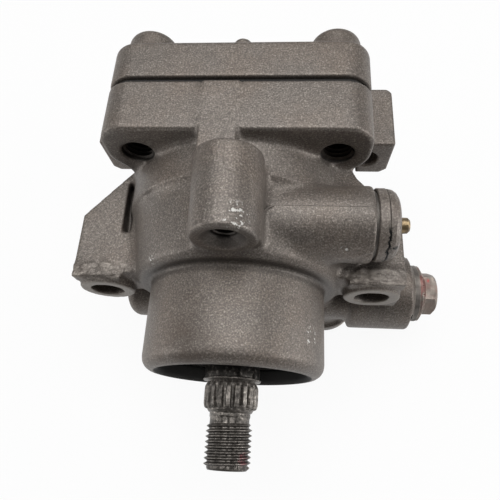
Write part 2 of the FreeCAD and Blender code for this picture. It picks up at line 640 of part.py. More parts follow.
def make_rear_cover():
    plate = flange_outline(0.0, COVER_Y, COVER_END)
    plate = plate.makeFillet(COVER_ROUND, edges_at(plate, flat_at_y(COVER_END)))
    pip = cyl_y(PIP_R, COVER_END - 2, COVER_END + PIP_REACH, 0.4, PIP_Z)
    pip = pip.makeFillet(1.2, edges_at(pip, flat_at_y(COVER_END + PIP_REACH)))
    centre = cone_y(17.0, 13.0, COVER_END - 1, COVER_END + 4.0)
    body = fuse([plate, pip, centre] + [cover_boss(x, z) for x, z in bolt_places()] + both_sides(cover_ear()))
    cuts = [cyl_y(TAIL_R + BUSH_T + PRESS_GAP, COVER_Y - 1, REAR_BUSH_END + 0.5)]
    for x, z in bolt_places():
        cuts.append(cyl_y(M10_MAJOR_R + PLAY, COVER_Y - 1, SCREW_SEAT_Y + 1, x, z))
        cuts.append(cyl_y(SCREW_HEAD_R + SEAT_GAP, SCREW_SEAT_Y, COVER_END + COVER_BOSS_REACH + 1, x, z))
    for side in (-1, 1):
        cuts.append(cyl_y(M10_TAP_R, COVER_Y - EAR_FORWARD - 1, COVER_Y + EAR_REACH + 1,
                          side * EAR_X, EAR_Z))
        cuts.append(cyl_y(DOWEL_R + RUN_GAP, COVER_Y - 1, COVER_Y + DOWEL_DEPTH + PLAY, side * DOWEL_X, 0.0))
    return body.cut(cuts)


def make_gasket():
    sheet = flange_outline(GASKET_INSET, FLANGE_END, COVER_Y)
    cuts = [cyl_y(CAVITY_R, FLANGE_END - 1, COVER_Y + 1)]
    for x, z in bolt_places():
        cuts.append(cyl_y(M10_MAJOR_R + SEAT_GAP, FLANGE_END - 1, COVER_Y + 1, x, z))
    return sheet.cut(cuts)


def make_cover_bolts():
    screws = []
    top = SCREW_SEAT_Y + SCREW_HEAD_H
    for x, z in bolt_places():
        head = cyl_y(SCREW_HEAD_R, SCREW_SEAT_Y, top, x, z)
        head = head.makeChamfer(0.6, edges_at(head, flat_at_y(top)))
        head = head.cut(hexagon_y(SCREW_SOCKET_AF, top - SCREW_HEAD_H / 2, top + 1, x, z))
        shank = cyl_y(M10_MAJOR_R, COVER_END - SCREW_REACH, SCREW_SEAT_Y + 1, x, z)
        shank = shank.makeChamfer(1.0, edges_at(shank, flat_at_y(COVER_END - SCREW_REACH)))
        screws.append(fuse([head, shank]))
    return Part.makeCompound(screws)


# Pump cartridge
def cam_radius(angle):
    return CAM_MIN_R + CAM_LIFT * math.sin(angle) ** 2


def make_cam_ring():
    steps = 32
    points = []
    for i in range(steps):
        a = 2 * math.pi * i / steps
        points.append(V(cam_radius(a) * math.cos(a), CAM_Y - 1, cam_radius(a) * math.sin(a)))
    curve = Part.BSplineCurve()
    curve.interpolate(Points=points, PeriodicFlag=True)
    track = Part.Face(Part.Wire(curve.toShape())).extrude(V(0, CAM_WIDTH + 2, 0))
    pins = [cyl_y(DOWEL_R + RUN_GAP, CAM_Y - 1, CAM_END + 1, side * DOWEL_X, 0.0) for side in (-1, 1)]
    return cyl_y(CAM_R, CAM_Y, CAM_END).cut([track] + pins)


def kidney(centre_angle, y0, y1):
    """Curved port, cut through a side plate."""
    half = KIDNEY_SWEEP / 2
    band = ring_y(KIDNEY_R + KIDNEY_HALF_W, KIDNEY_R - KIDNEY_HALF_W, y0, y1)
    reach = 60.0
    a0 = math.radians(centre_angle - half)
    a1 = math.radians(centre_angle + half)
    wedge = plate_xz([(0.0, 0.0), (reach * math.cos(a0), reach * math.sin(a0)),
                      (reach * math.cos(a1), reach * math.sin(a1))], y0, y1)
    return band.common(wedge)


def make_front_plate():
    end = FRONT_PLATE_Y + FRONT_PLATE_T
    groove_y = FRONT_PLATE_Y + 0.4 * FRONT_PLATE_T
    plate = cyl_y(PLATE_R, FRONT_PLATE_Y, end)
    cuts = [cyl_y(PLATE_BORE_R, FRONT_PLATE_Y - 1, end + 1),
            ring_y(PLATE_R + 1, CAVITY_R - 2 * O_RING_R - PLAY, groove_y - O_RING_R - PLAY,
                   groove_y + O_RING_R + PLAY)]
    inner = INNER_O_RING_R
    cuts.append(ring_y(inner + O_RING_R + PLAY, inner - O_RING_R - PLAY, FRONT_PLATE_Y - 1,
                       FRONT_PLATE_Y + 2 * O_RING_R - SEAT_GAP))
    for side in (-1, 1):
        cuts.append(cyl_y(DOWEL_R + RUN_GAP, end - DOWEL_DEPTH, end + 1, side * DOWEL_X, 0.0))
    for angle in (30.0, 210.0):
        cuts.append(kidney(angle, FRONT_PLATE_Y - 1, end + 1))
    return plate.cut(cuts)


def make_rear_plate():
    plate = cyl_y(PLATE_R, CAM_END, COVER_Y)
    cuts = [cyl_y(REAR_PLATE_BORE_R, CAM_END - 1, COVER_Y + 1)]
    for side in (-1, 1):
        cuts.append(cyl_y(DOWEL_R + RUN_GAP, CAM_END - 1, COVER_Y + 1, side * DOWEL_X, 0.0))
    for angle in (120.0, 300.0):
        cuts.append(kidney(angle, CAM_END - 1, CAM_END + 3.0))
        a = math.radians(angle)
        reach = PLATE_R + 2
        cuts.append(Part.makeCylinder(2.4, reach - KIDNEY_R,
                                      V(KIDNEY_R * math.cos(a), CAM_END + 0.2, KIDNEY_R * math.sin(a)),
                                      V(math.cos(a), 0, math.sin(a))))
    return plate.cut(cuts)


def make_dowels():
    start = CAM_Y - DOWEL_DEPTH + SEAT_GAP
    end = COVER_Y + DOWEL_DEPTH - SEAT_GAP
    pins = []
    for side in (-1, 1):
        pin = cyl_y(DOWEL_R, start, end, side * DOWEL_X, 0.0)
        pins.append(pin.makeChamfer(0.4, edges_at(pin, lambda b: b.YLength < 0.01)))
    return Part.makeCompound(pins)


def make_wave_spring():
    profile = [(CAVITY_Y, WAVE_OUT_R), (CAVITY_Y + WAVE_H - WAVE_T, WAVE_IN_R), (CAVITY_Y + WAVE_H, WAVE_IN_R),
               (CAVITY_Y + WAVE_T, WAVE_OUT_R)]
    return turned(profile)


def torus_y(big, small, y):
    return Part.makeTorus(big, small, V(0, y, 0), V(0, 1, 0))


def make_outer_o_ring():
    groove_y = FRONT_PLATE_Y + 0.4 * FRONT_PLATE_T
    return torus_y(CAVITY_R - O_RING_R - PRESS_GAP, O_RING_R, groove_y)


def make_inner_o_ring():
    return torus_y(INNER_O_RING_R, O_RING_R, FRONT_PLATE_Y + O_RING_R - SEAT_GAP)


# Rotor, vanes and drive shaft
def star(tip_r, root_r, teeth, y0, y1, tip_share=0.42, phase=0.0):
    """Straight spline: flat-topped teeth on a round root."""
    pitch = 2 * math.pi / teeth
    points = []
    for i in range(teeth):
        for r, offset in ((root_r, -0.42), (tip_r, -tip_share / 2), (tip_r, tip_share / 2), (root_r, 0.42)):
            a = (i + offset) * pitch + phase
            points.append((r * math.cos(a), r * math.sin(a)))
    return plate_xz(points, y0, y1)


def vane_angles():
    step = 360.0 / VANE_COUNT
    return [math.radians(step * (i + 0.5)) for i in range(VANE_COUNT)]


def radial_block(angle, r0, r1, thickness, y0, y1):
    half = thickness / 2
    radial = (math.cos(angle), math.sin(angle))
    across = (-radial[1], radial[0])
    corners = [(r, t) for r, t in ((r0, -half), (r1, -half), (r1, half), (r0, half))]
    return plate_xz([(r * radial[0] + t * across[0], r * radial[1] + t * across[1]) for r, t in corners], y0, y1)


def make_rotor():
    y0 = CAM_Y + RUN_GAP
    y1 = CAM_END - RUN_GAP
    root = VANE_TIP_R - VANE_LENGTH - PLAY
    cuts = [star(ROTOR_SPLINE_R + SLIDE_GAP, ROTOR_SPLINE_ROOT_R + SLIDE_GAP, ROTOR_SPLINE_TEETH, y0 - 1, y1 + 1,
                 tip_share=0.46)]
    for a in vane_angles():
        cuts.append(radial_block(a, root, ROTOR_R + 2, VANE_T + 2 * SLIDE_GAP, y0 - 1, y1 + 1))
        cuts.append(cyl_y(SLOT_ROOT_R, y0 - 1, y1 + 1, root * math.cos(a), root * math.sin(a)))
    return cyl_y(ROTOR_R, y0, y1).cut(cuts)


def make_vane(angle):
    y0 = CAM_Y + RUN_GAP
    y1 = CAM_END - RUN_GAP
    blank = radial_block(angle, VANE_TIP_R - VANE_LENGTH, VANE_TIP_R + 1, VANE_T, y0, y1)
    return blank.common(cyl_y(VANE_TIP_R, y0 - 1, y1 + 1))


def make_drive_shaft():
    r_in = SHAFT_R - RING_GROOVE_DEPTH
    ring_y0 = BEARING_END + PLAY / 2
    ring_y1 = ring_y0 + SHAFT_RING_T + PLAY
    rotor_ring = CAM_END + PLAY
    rotor_ring_end = rotor_ring + SHAFT_RING_T + PLAY
    tail_end = REAR_BUSH_END - 0.4
    profile = [(-SHAFT_TIP, 0.0), (-SHAFT_TIP, THREAD_R - 1.1), (-SHAFT_TIP + 1.1, THREAD_R),
               (THREAD_END - 0.6, THREAD_R), (THREAD_END, NECK_R), (SPLINE_Y - 1.2, NECK_R),
               (SPLINE_Y, SPLINE_ROOT_R), (SPLINE_END, SPLINE_ROOT_R), (SPLINE_END, SPLINE_ROOT_R + 0.3),
               (LIP_Y, SPLINE_ROOT_R + 0.3), (LIP_Y, LIP_R - 0.3), (LIP_Y + 0.3, LIP_R), (LIP_END - 0.4, LIP_R),
               (LIP_END, COLLAR_R),
               (BEARING_Y, COLLAR_R), (BEARING_Y, SHAFT_R), (ring_y0, SHAFT_R), (ring_y0, r_in), (ring_y1, r_in),
               (ring_y1, SHAFT_R), (SEAL_FLOOR + 1.0, SHAFT_R), (SEAL_FLOOR + 1.5, JOURNAL_R),
               (CAM_Y - 1.0, JOURNAL_R), (CAM_Y - 0.5, ROTOR_SPLINE_ROOT_R), (rotor_ring, ROTOR_SPLINE_ROOT_R),
               (rotor_ring, ROTOR_SPLINE_ROOT_R - RING_GROOVE_DEPTH),
               (rotor_ring_end, ROTOR_SPLINE_ROOT_R - RING_GROOVE_DEPTH), (rotor_ring_end, TAIL_SHOULDER_R),
               (REAR_BUSH_Y - 1.2, TAIL_SHOULDER_R), (REAR_BUSH_Y - 0.8, TAIL_R), (tail_end - 0.8, TAIL_R),
               (tail_end, TAIL_R - 0.8), (tail_end, 0.0)]
    core = turned(profile)
    drive = star(SPLINE_R, SPLINE_ROOT_R - 0.2, SPLINE_TEETH, SPLINE_Y - 1.0, SPLINE_END)
    rounded = turned([(SPLINE_Y - 1.0, 0.0), (SPLINE_Y - 1.0, SPLINE_ROOT_R - 0.9), (SPLINE_Y + 0.6, SPLINE_R + 0.05),
                      (SPLINE_END - 1.6, SPLINE_R + 0.05), (SPLINE_END, SPLINE_ROOT_R + 0.1), (SPLINE_END, 0.0)])
    inner = star(ROTOR_SPLINE_R, ROTOR_SPLINE_ROOT_R - 0.1, ROTOR_SPLINE_TEETH, CAM_Y - 0.5, rotor_ring)
    return fuse([core, drive.common(rounded), inner])


def snap_ring(r_in, r_out, y0, thickness, gap, open_angle):
    """Flat ring with a gap and a pair of eyes at the ends."""
    ring = ring_y(r_out, r_in, y0, y0 + thickness)
    a = math.radians(open_angle)
    mean = (r_in + r_out) / 2
    mouth = radial_block(a, r_in - 2, r_out + 4, gap, y0 - 1, y0 + thickness + 1)
    eyes = []
    for side in (-1, 1):
        b = a + side * (gap / 2 + 1.3) / mean
        eyes.append(cyl_y(0.7, y0 - 1, y0 + thickness + 1, mean * math.cos(b), mean * math.sin(b)))
    return ring.cut([mouth] + eyes)


def make_housing_ring():
    r_out = BEARING_R + HOUSING_RING_GROOVE - PLAY
    return snap_ring(r_out - HOUSING_RING_WIDTH, r_out, BEARING_Y - HOUSING_RING_T - PLAY, HOUSING_RING_T, 8.0, 200.0)


def make_shaft_ring():
    r_in = SHAFT_R - RING_GROOVE_DEPTH + PLAY / 2
    return snap_ring(r_in, r_in + SHAFT_RING_WIDTH, BEARING_END + PLAY, SHAFT_RING_T, 3.0, 90.0)


def make_rotor_ring():
    r_in = ROTOR_SPLINE_ROOT_R - RING_GROOVE_DEPTH + PLAY / 2
    return snap_ring(r_in, r_in + SHAFT_RING_WIDTH, CAM_END + 1.5 * PLAY, SHAFT_RING_T, 3.0, 90.0)


# Ball bearing
def race_groove():
    return torus_y(BEARING_PITCH / 2, BALL_D / 2 + RUN_GAP, BEARING_Y + BEARING_WIDTH / 2)


def make_outer_race():
    land = BEARING_PITCH / 2 + 0.34 * BALL_D
    race = ring_y(BEARING_R - PRESS_GAP, land, BEARING_Y, BEARING_END)
    race = race.makeChamfer(0.8, edges_at(race, lambda b: b.YLength < 0.01 and b.XLength > 2 * BEARING_R - 1))
    return race.cut(race_groove())


def make_inner_race():
    land = BEARING_PITCH / 2 - 0.34 * BALL_D
    return ring_y(land, SHAFT_R + PRESS_GAP, BEARING_Y + PRESS_GAP, BEARING_END).cut(race_groove())


def ball_places():
    y = BEARING_Y + BEARING_WIDTH / 2
    step = 2 * math.pi / BALL_COUNT
    return [V(BEARING_PITCH / 2 * math.cos(step * i), y, BEARING_PITCH / 2 * math.sin(step * i))
            for i in range(BALL_COUNT)]


def make_balls():
    return Part.makeCompound([Part.makeSphere(BALL_D / 2, p) for p in ball_places()])


def make_cage():
    middle = BEARING_Y + BEARING_WIDTH / 2
    band = ring_y(BEARING_PITCH / 2 + 1.3, BEARING_PITCH / 2 - 1.3, middle - CAGE_HALF_W, middle + CAGE_HALF_W)
    pockets = []
    for p in ball_places():
        outward = V(p.x, 0, p.z).normalize()
        pockets.append(Part.makeCylinder(BALL_D / 2 + RUN_GAP, 6.0, p - outward * 3.0, outward))
    return band.cut(pockets)


def make_bearing_seals():
    land_out = BEARING_PITCH / 2 + 0.34 * BALL_D - PRESS_GAP
    land_in = BEARING_PITCH / 2 - 0.34 * BALL_D + SEAT_GAP
    rings = []
    for y0 in (BEARING_Y + SEAT_GAP, BEARING_END - SEAT_GAP - BEARING_SEAL_T):
        rings.append(ring_y(land_out, land_in, y0, y0 + BEARING_SEAL_T))
    return Part.makeCompound(rings)


# Shaft seal
def make_seal_case():
    inner = SEAL_R - PRESS_GAP - SEAL_CASE_T
    y0, y1 = SEAL_Y, SEAL_Y + SEAL_WIDTH
    return turned([(y0, SEAL_R - PRESS_GAP), (y1, SEAL_R - PRESS_GAP), (y1, SHAFT_R + 2.0),
                   (y1 - SEAL_CASE_T, SHAFT_R + 2.0), (y1 - SEAL_CASE_T, inner), (y0, inner)])


def make_shaft_seal():
    y1 = SEAL_Y + SEAL_WIDTH - SEAL_CASE_T - PRESS_GAP
    outer = SEAL_R - SEAL_CASE_T - 2 * PRESS_GAP
    lip_y = SEAL_Y + 1.6
    lip = SHAFT_R + SLIDE_GAP
    body = turned([(SEAL_Y + 0.4, outer), (y1, outer), (y1, SHAFT_R + 1.6), (lip_y + 2.2, SHAFT_R + 0.9),
                   (lip_y, lip), (lip_y - 1.2, SHAFT_R + 0.7), (lip_y - 1.2, SHAFT_R + 2.4),
                   (y1 - 1.2, SHAFT_R + 3.0), (y1 - 1.2, outer - 1.2), (SEAL_Y + 0.4, outer - 1.2)])
    return body.cut(torus_y(SHAFT_R + 2.4 + GARTER_R / 2, GARTER_R + SLIDE_GAP, lip_y))


def make_garter_spring():
    return torus_y(SHAFT_R + 2.4 + GARTER_R / 2, GARTER_R, SEAL_Y + 1.6)


def make_front_bush():
    y0 = SEAL_FLOOR + 2.0
    return ring_y(JOURNAL_R + BUSH_T, JOURNAL_R + RUN_GAP, y0, y0 + FRONT_BUSH_L)


def make_rear_bush():
    return ring_y(TAIL_R + BUSH_T, TAIL_R + RUN_GAP, REAR_BUSH_Y, REAR_BUSH_END)


# Flow valve, its plug and springs
def coil_x(x0, x1, mean_r, wire_r, turns, y, z):
    """Open-ended coil spring along X."""
    length = x1 - x0 - 2 * wire_r
    helix = Part.makeHelix(length / turns, length, mean_r)
    profile = Part.Wire(Part.Circle(V(mean_r, 0, 0), V(0, 1, 0), wire_r).toShape())
    coil = Part.Wire(helix.Edges).makePipeShell([profile], True, True)
    coil.rotate(V(0, 0, 0), V(0, 1, 0), 90)
    coil.translate(V(x0 + wire_r, y, z))
    return coil


def make_valve_plug():
    x = VALVE_MOUTH_X
    face = x + PLUG_WASHER_T
    flange_end = face + PLUG_FLANGE_T
    shank = cyl_x(VALVE_THREAD_R - PLAY, x - PLUG_SHANK, face, VALVE_Y, VALVE_Z)
    shank = shank.makeChamfer(0.8, edges_at(shank, lambda b: abs(b.XMax - x + PLUG_SHANK) < 0.01 and b.ZLength > 1))
    pin = cyl_x(PLUG_PIN_R, x - PLUG_SHANK - PLUG_PIN_LENGTH, x, VALVE_Y, VALVE_Z)
    flange = turned_x([(face, 0.0), (face, PLUG_FLANGE_R), (face + 0.9, PLUG_FLANGE_R), (flange_end, PLUG_HEX_AF / 2),
                       (flange_end, 0.0)], VALVE_Y, VALVE_Z)
    teeth = []
    for i in range(PLUG_TEETH):
        a = 2 * math.pi * (i + 0.5) / PLUG_TEETH
        reach = PLUG_FLANGE_R + 0.1
        teeth.append(cyl_x(PLUG_TOOTH, face + 0.9, flange_end + 0.1, VALVE_Y + reach * math.cos(a),
                           VALVE_Z + reach * math.sin(a)))
        teeth.append(cyl_x(PLUG_TOOTH * 0.8, face + 0.9, flange_end + 0.1,
                           VALVE_Y + (reach - 1.2) * math.cos(a), VALVE_Z + (reach - 1.2) * math.sin(a)))
    head = hexagon_x(PLUG_HEX_AF, face, flange_end + PLUG_HEX_H, VALVE_Y, VALVE_Z)
    crown = cone_x(PLUG_HEX_AF / 2 + 4.0, PLUG_HEX_AF / 2 - 0.3, flange_end + PLUG_HEX_H - 4.3,
                   flange_end + PLUG_HEX_H, VALVE_Y, VALVE_Z)
    head = head.common(fuse([crown, cyl_x(20, face, flange_end + PLUG_HEX_H - 4.3, VALVE_Y, VALVE_Z)]))
    return fuse([shank, pin, flange.cut(teeth), head])


def make_plug_washer():
    return ring_x(PLUG_WASHER_R, VALVE_THREAD_R, VALVE_MOUTH_X, VALVE_MOUTH_X + PLUG_WASHER_T, VALVE_Y, VALVE_Z)


def make_spool():
    x0, x1 = SPOOL_X, SPOOL_END_X
    r = VALVE_BORE_R - SLIDE_GAP
    body = cyl_x(r, x0, x1, VALVE_Y, VALVE_Z)
    body = body.makeChamfer(0.5, edges_at(body, lambda b: b.XLength < 0.01 and b.ZLength > 1))
    cuts = [cyl_x(SPRING_POCKET_R, x0 - 1, x0 + SPRING_POCKET, VALVE_Y, VALVE_Z)]
    land = SPOOL_LENGTH / 5
    for i in (1, 3):
        groove_x = x0 + land * i
        cuts.append(ring_x(r + 1, r - SPOOL_GROOVE, groove_x, groove_x + land, VALVE_Y, VALVE_Z))
    cuts.append(cyl_x(RELIEF_BORE_R, x0 + SPRING_POCKET + 2.0, x1, VALVE_Y, VALVE_Z))
    cuts.append(cyl_x(RELIEF_SEAT_R + PRESS_GAP, x1 - RELIEF_SEAT_L, x1 + 1, VALVE_Y, VALVE_Z))
    cuts.append(cyl_x(ORIFICE_R, x0, x1, VALVE_Y, VALVE_Z))
    return body.cut(cuts)


def make_valve_spring():
    return coil_x(VALVE_BLIND_X, SPOOL_X + SPRING_POCKET, SPRING_POCKET_R - SPRING_WIRE_R - SEAT_GAP, SPRING_WIRE_R,
                  SPRING_TURNS, VALVE_Y, VALVE_Z)


def relief_ball_x():
    return SPOOL_END_X - RELIEF_SEAT_L - RELIEF_BALL_R * 0.8


def make_relief_seat():
    x0, x1 = SPOOL_END_X - RELIEF_SEAT_L, SPOOL_END_X
    seat = cyl_x(RELIEF_SEAT_R, x0, x1, VALVE_Y, VALVE_Z)
    pocket = Part.makeSphere(RELIEF_BALL_R + RUN_GAP, V(relief_ball_x(), VALVE_Y, VALVE_Z))
    return seat.cut([cyl_x(ORIFICE_R, x0 - 1, x1 + 1, VALVE_Y, VALVE_Z), pocket])


def make_relief_ball():
    return Part.makeSphere(RELIEF_BALL_R, V(relief_ball_x(), VALVE_Y, VALVE_Z))


def make_relief_holder():
    x1 = relief_ball_x() - 0.6
    x0 = x1 - RELIEF_HOLDER_L
    holder = cyl_x(RELIEF_BORE_R - RUN_GAP, x0, x1, VALVE_Y, VALVE_Z)
    pocket = Part.makeSphere(RELIEF_BALL_R + PRESS_GAP, V(relief_ball_x(), VALVE_Y, VALVE_Z))
    step = ring_x(RELIEF_BORE_R + 1, RELIEF_BORE_R - 1.4, x0 - 1, x0 + 2.0, VALVE_Y, VALVE_Z)
    return holder.cut([pocket, step])


def make_relief_spring():
    x0 = SPOOL_X + SPRING_POCKET + 2.0
    x1 = relief_ball_x() - 0.6 - RELIEF_HOLDER_L + 2.0
    return coil_x(x0, x1, RELIEF_BORE_R - RELIEF_WIRE_R - PLAY, RELIEF_WIRE_R, RELIEF_TURNS, VALVE_Y, VALVE_Z)


# Pressure switch
def piston_x():
    return SWITCH_FACE_X - SWITCH_THREAD_L + SWITCH_GUIDE_L - SWITCH_PISTON_L + 0.2


def make_switch_washer():
    return ring_x(SWITCH_WASHER_R, SWITCH_THREAD_R, SWITCH_FACE_X, SWITCH_BODY_X, SWITCH_Y, SWITCH_Z)


def make_switch_body():
    x0, x1 = SWITCH_BODY_X, SWITCH_END_X
    shank_x = SWITCH_FACE_X - SWITCH_THREAD_L
    guide_end = shank_x + SWITCH_GUIDE_L
    band = x0 + SWITCH_BAND
    r = SWITCH_BODY_R
    profile = [(shank_x, 0.0), (shank_x, SWITCH_THREAD_R - 0.8), (shank_x + 0.8, SWITCH_THREAD_R - PLAY),
               (x0, SWITCH_THREAD_R - PLAY), (x0, r - 0.3), (x0 + 0.3, r), (band - 0.2, r), (band, r - 0.4),
               (band + 0.2, r - 0.2)]
    for i in range(5):
        a = math.radians(22.5 * i)
        profile.append((x1 - SWITCH_ROUND * (1 - math.sin(a)), r - 0.2 - SWITCH_ROUND * (1 - math.cos(a))))
    profile += [(x1, 0.0)]
    body = turned_x(profile, SWITCH_Y, SWITCH_Z)
    cuts = [cyl_x(SWITCH_PISTON_R + RUN_GAP, shank_x - 1, x1, SWITCH_Y, SWITCH_Z),
            cyl_x(SWITCH_CHAMBER_R, guide_end, x1 + 1, SWITCH_Y, SWITCH_Z)]
    return body.cut(cuts)


def make_switch_insulator():
    x1 = SWITCH_END_X
    disc = cyl_x(SWITCH_CHAMBER_R - PRESS_GAP, x1 - 3.5, x1 + 0.3, SWITCH_Y, SWITCH_Z)
    disc = disc.makeChamfer(0.3, edges_at(disc, lambda b: abs(b.XMin - x1 - 0.3) < 0.01 and b.ZLength > 1))
    return disc.cut(cyl_x(TERMINAL_R * 0.6 + PRESS_GAP, x1 - 5, x1 + 1, SWITCH_Y, SWITCH_Z))


def make_switch_terminal():
    x1 = SWITCH_END_X + 0.3
    tip = x1 + TERMINAL_REACH
    piston_top = piston_x() + SWITCH_PISTON_L + 1.0
    return turned_x([(piston_top + SWITCH_TRAVEL + SEAT_GAP, 0.0), (piston_top + SWITCH_TRAVEL + SEAT_GAP, 1.8),
                     (piston_top + SWITCH_TRAVEL + 1.1, 1.8), (piston_top + SWITCH_TRAVEL + 1.1, 1.0),
                     (x1 - 4.1, 1.0), (x1 - 4.1, TERMINAL_R * 0.6), (x1, TERMINAL_R * 0.6), (x1, TERMINAL_R),
                     (tip - 0.6, TERMINAL_R - 0.15), (tip, TERMINAL_R - 0.7), (tip, 0.0)], SWITCH_Y, SWITCH_Z)


def make_switch_piston():
    x0 = piston_x()
    head = x0 + SWITCH_PISTON_L
    return turned_x([(x0, 0.0), (x0, SWITCH_PISTON_R), (head, SWITCH_PISTON_R), (head, SWITCH_CHAMBER_R - 0.8),
                     (head + 1.0, SWITCH_CHAMBER_R - 0.8), (head + 1.0, 0.0)], SWITCH_Y, SWITCH_Z)


def make_switch_spring():
    x0 = piston_x() + SWITCH_PISTON_L + 1.0
    return coil_x(x0, SWITCH_END_X - 3.5, SWITCH_CHAMBER_R - 1.6, SWITCH_WIRE_R, SWITCH_TURNS, SWITCH_Y, SWITCH_Z)


def make_all():
    parts["front_housing"] = make_front_housing()
    parts["rear_cover"] = make_rear_cover()
    parts["cover_gasket"] = make_gasket()
    parts["cover_bolts"] = make_cover_bolts()
    parts["cam_ring"] = make_cam_ring()
    parts["front_side_plate"] = make_front_plate()
    parts["rear_side_plate"] = make_rear_plate()
    parts["dowel_pins"] = make_dowels()
    parts["side_plate_spring"] = make_wave_spring()
    parts["side_plate_o_ring"] = make_outer_o_ring()
    parts["shaft_o_ring"] = make_inner_o_ring()
    parts["front_bush"] = make_front_bush()
    parts["rear_bush"] = make_rear_bush()
    parts["seal_case"] = make_seal_case()
    parts["shaft_seal"] = make_shaft_seal()
    parts["garter_spring"] = make_garter_spring()
    parts["bearing_snap_ring"] = make_housing_ring()
    parts["bearing_outer_race"] = make_outer_race()
    parts["bearing_seals"] = make_bearing_seals()
    parts["bearing_inner_race"] = make_inner_race()
    parts["bearing_cage"] = make_cage()
    parts["bearing_balls"] = make_balls()
    parts["drive_shaft"] = make_drive_shaft()
    parts["shaft_snap_ring"] = make_shaft_ring()
    parts["rotor"] = make_rotor()
    parts["rotor_snap_ring"] = make_rotor_ring()
    for i, angle in enumerate(vane_angles()):
        parts["vane_%02d" % (i + 1)] = make_vane(angle)
    parts["valve_plug"] = make_valve_plug()
    parts["valve_plug_washer"] = make_plug_washer()
    parts["flow_spool"] = make_spool()
    parts["valve_spring"] = make_valve_spring()
    parts["relief_seat"] = make_relief_seat()
    parts["relief_ball"] = make_relief_ball()
    parts["relief_holder"] = make_relief_holder()
    parts["relief_spring"] = make_relief_spring()
    parts["switch_washer"] = make_switch_washer()
    parts["switch_body"] = make_switch_body()
    parts["switch_insulator"] = make_switch_insulator()
    parts["switch_terminal"] = make_switch_terminal()
    parts["switch_piston"] = make_switch_piston()
    parts["switch_spring"] = make_switch_spring()


def main():
    os.makedirs("parts", exist_ok=True)
    make_all()
    for name, shape in parts.items():
        shape.exportStep("parts/%s.step" % name)
        print(name, "solids", len(shape.Solids), "valid", shape.isValid(), "volume", round(shape.Volume, 1))


if __name__ == "__main__":
    main()
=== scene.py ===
"""Looks for the power steering pump: cast iron housing and cover, turned shaft, valve plug and switch."""

import math

import bpy
import numpy as np
from bpy.props import FloatProperty, FloatVectorProperty, PointerProperty
from mathutils import Matrix, Vector, noise


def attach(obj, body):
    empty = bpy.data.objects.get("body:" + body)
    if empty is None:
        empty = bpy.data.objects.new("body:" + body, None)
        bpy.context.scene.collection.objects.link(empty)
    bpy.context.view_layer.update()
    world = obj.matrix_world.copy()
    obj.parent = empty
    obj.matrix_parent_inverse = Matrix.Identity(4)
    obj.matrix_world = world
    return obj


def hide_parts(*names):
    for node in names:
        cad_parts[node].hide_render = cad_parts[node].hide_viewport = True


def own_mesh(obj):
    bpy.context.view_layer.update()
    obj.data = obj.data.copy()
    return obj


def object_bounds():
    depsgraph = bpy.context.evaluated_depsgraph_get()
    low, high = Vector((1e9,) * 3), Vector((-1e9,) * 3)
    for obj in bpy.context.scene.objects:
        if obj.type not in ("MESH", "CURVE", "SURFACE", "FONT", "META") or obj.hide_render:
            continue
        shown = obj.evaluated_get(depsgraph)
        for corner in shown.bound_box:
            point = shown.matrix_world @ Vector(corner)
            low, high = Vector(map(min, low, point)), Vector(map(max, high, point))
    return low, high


bl_info = {
    "name": "Power steering pump looks",
    "version": (1, 0, 0),
    "blender": (4, 5, 0),
    "location": "View3D > Sidebar > Pump",
    "description": "Dresses the packed pump with cast, turned and plated surfaces",
    "category": "Object",
}

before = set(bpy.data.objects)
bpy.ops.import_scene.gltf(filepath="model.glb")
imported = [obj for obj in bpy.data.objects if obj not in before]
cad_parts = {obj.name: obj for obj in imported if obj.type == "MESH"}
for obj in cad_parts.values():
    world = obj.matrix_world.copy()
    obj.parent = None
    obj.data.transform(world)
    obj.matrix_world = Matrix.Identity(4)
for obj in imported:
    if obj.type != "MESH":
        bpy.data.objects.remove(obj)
cad_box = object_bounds()

MM = 0.001

# Places on the pump in millimetres, the same as in its source
SHAFT_TIP_Y = -53.3
FLANGE_FRONT_Y = 36.6
SCREW_PLACES = [(side * 30.8, up * 30.5) for side in (-1, 1) for up in (-1, 1)]
BOSS_PLACE = (0.0, 44.0)
SWITCH_PLACE = (16.4, 24.0)
PLUG_PLACE = (9.9, -22.0)
EAR_PLACES = [(-44.0, 3.0), (44.0, 3.0)]
PORT_PLACE = (31.5, 9.9)
SUCTION_PLACE = (0.0, 39.5)

# Each tapped hole's x, z, radius, front and back, in millimetres, where painted shade darkens the hole
TAPPED_HOLES = [(x, z, 5.6, 37.2, 60.0) for x, z in SCREW_PLACES] + [(*BOSS_PLACE, 3.7, 3.8, 22.0)]

# Threads in those holes: radius at the wall and at the crest, pitch, turns and start, in millimetres
FLANGE_THREAD = (5.15, 4.35, 1.5, 3, FLANGE_FRONT_Y + 1.6)
BOSS_THREAD = (3.45, 2.95, 1.25, 8, 5.0)

# Shaft's end, in millimetres
THREAD_LENGTH = 14.4
THREAD_PITCH = 1.5
THREAD_OUTER = 7.0
THREAD_ROOT = 6.1
THREAD_CHAMFER = 1.0
THREAD_RUN_OUT = 2.6
NECK_SPAN = (-42.0, -36.0)
NECK_SHIFT = 2.2
SPLINE_END_Y = -28.5
SPLINE_FLANK_R = 7.75
SPLINE_GROOVE_R = 7.1
SPLINE_OUTLINE = ((-38.7, 6.35), (-38.0, 6.55), (-37.3, 7.0), (-36.6, 7.65), (-35.8, 8.15), (-34.9, 8.42),
                  (-34.0, 8.5), (-30.5, 8.5), (-29.7, 8.35), (-29.0, 8.05), (-28.4, 7.7))

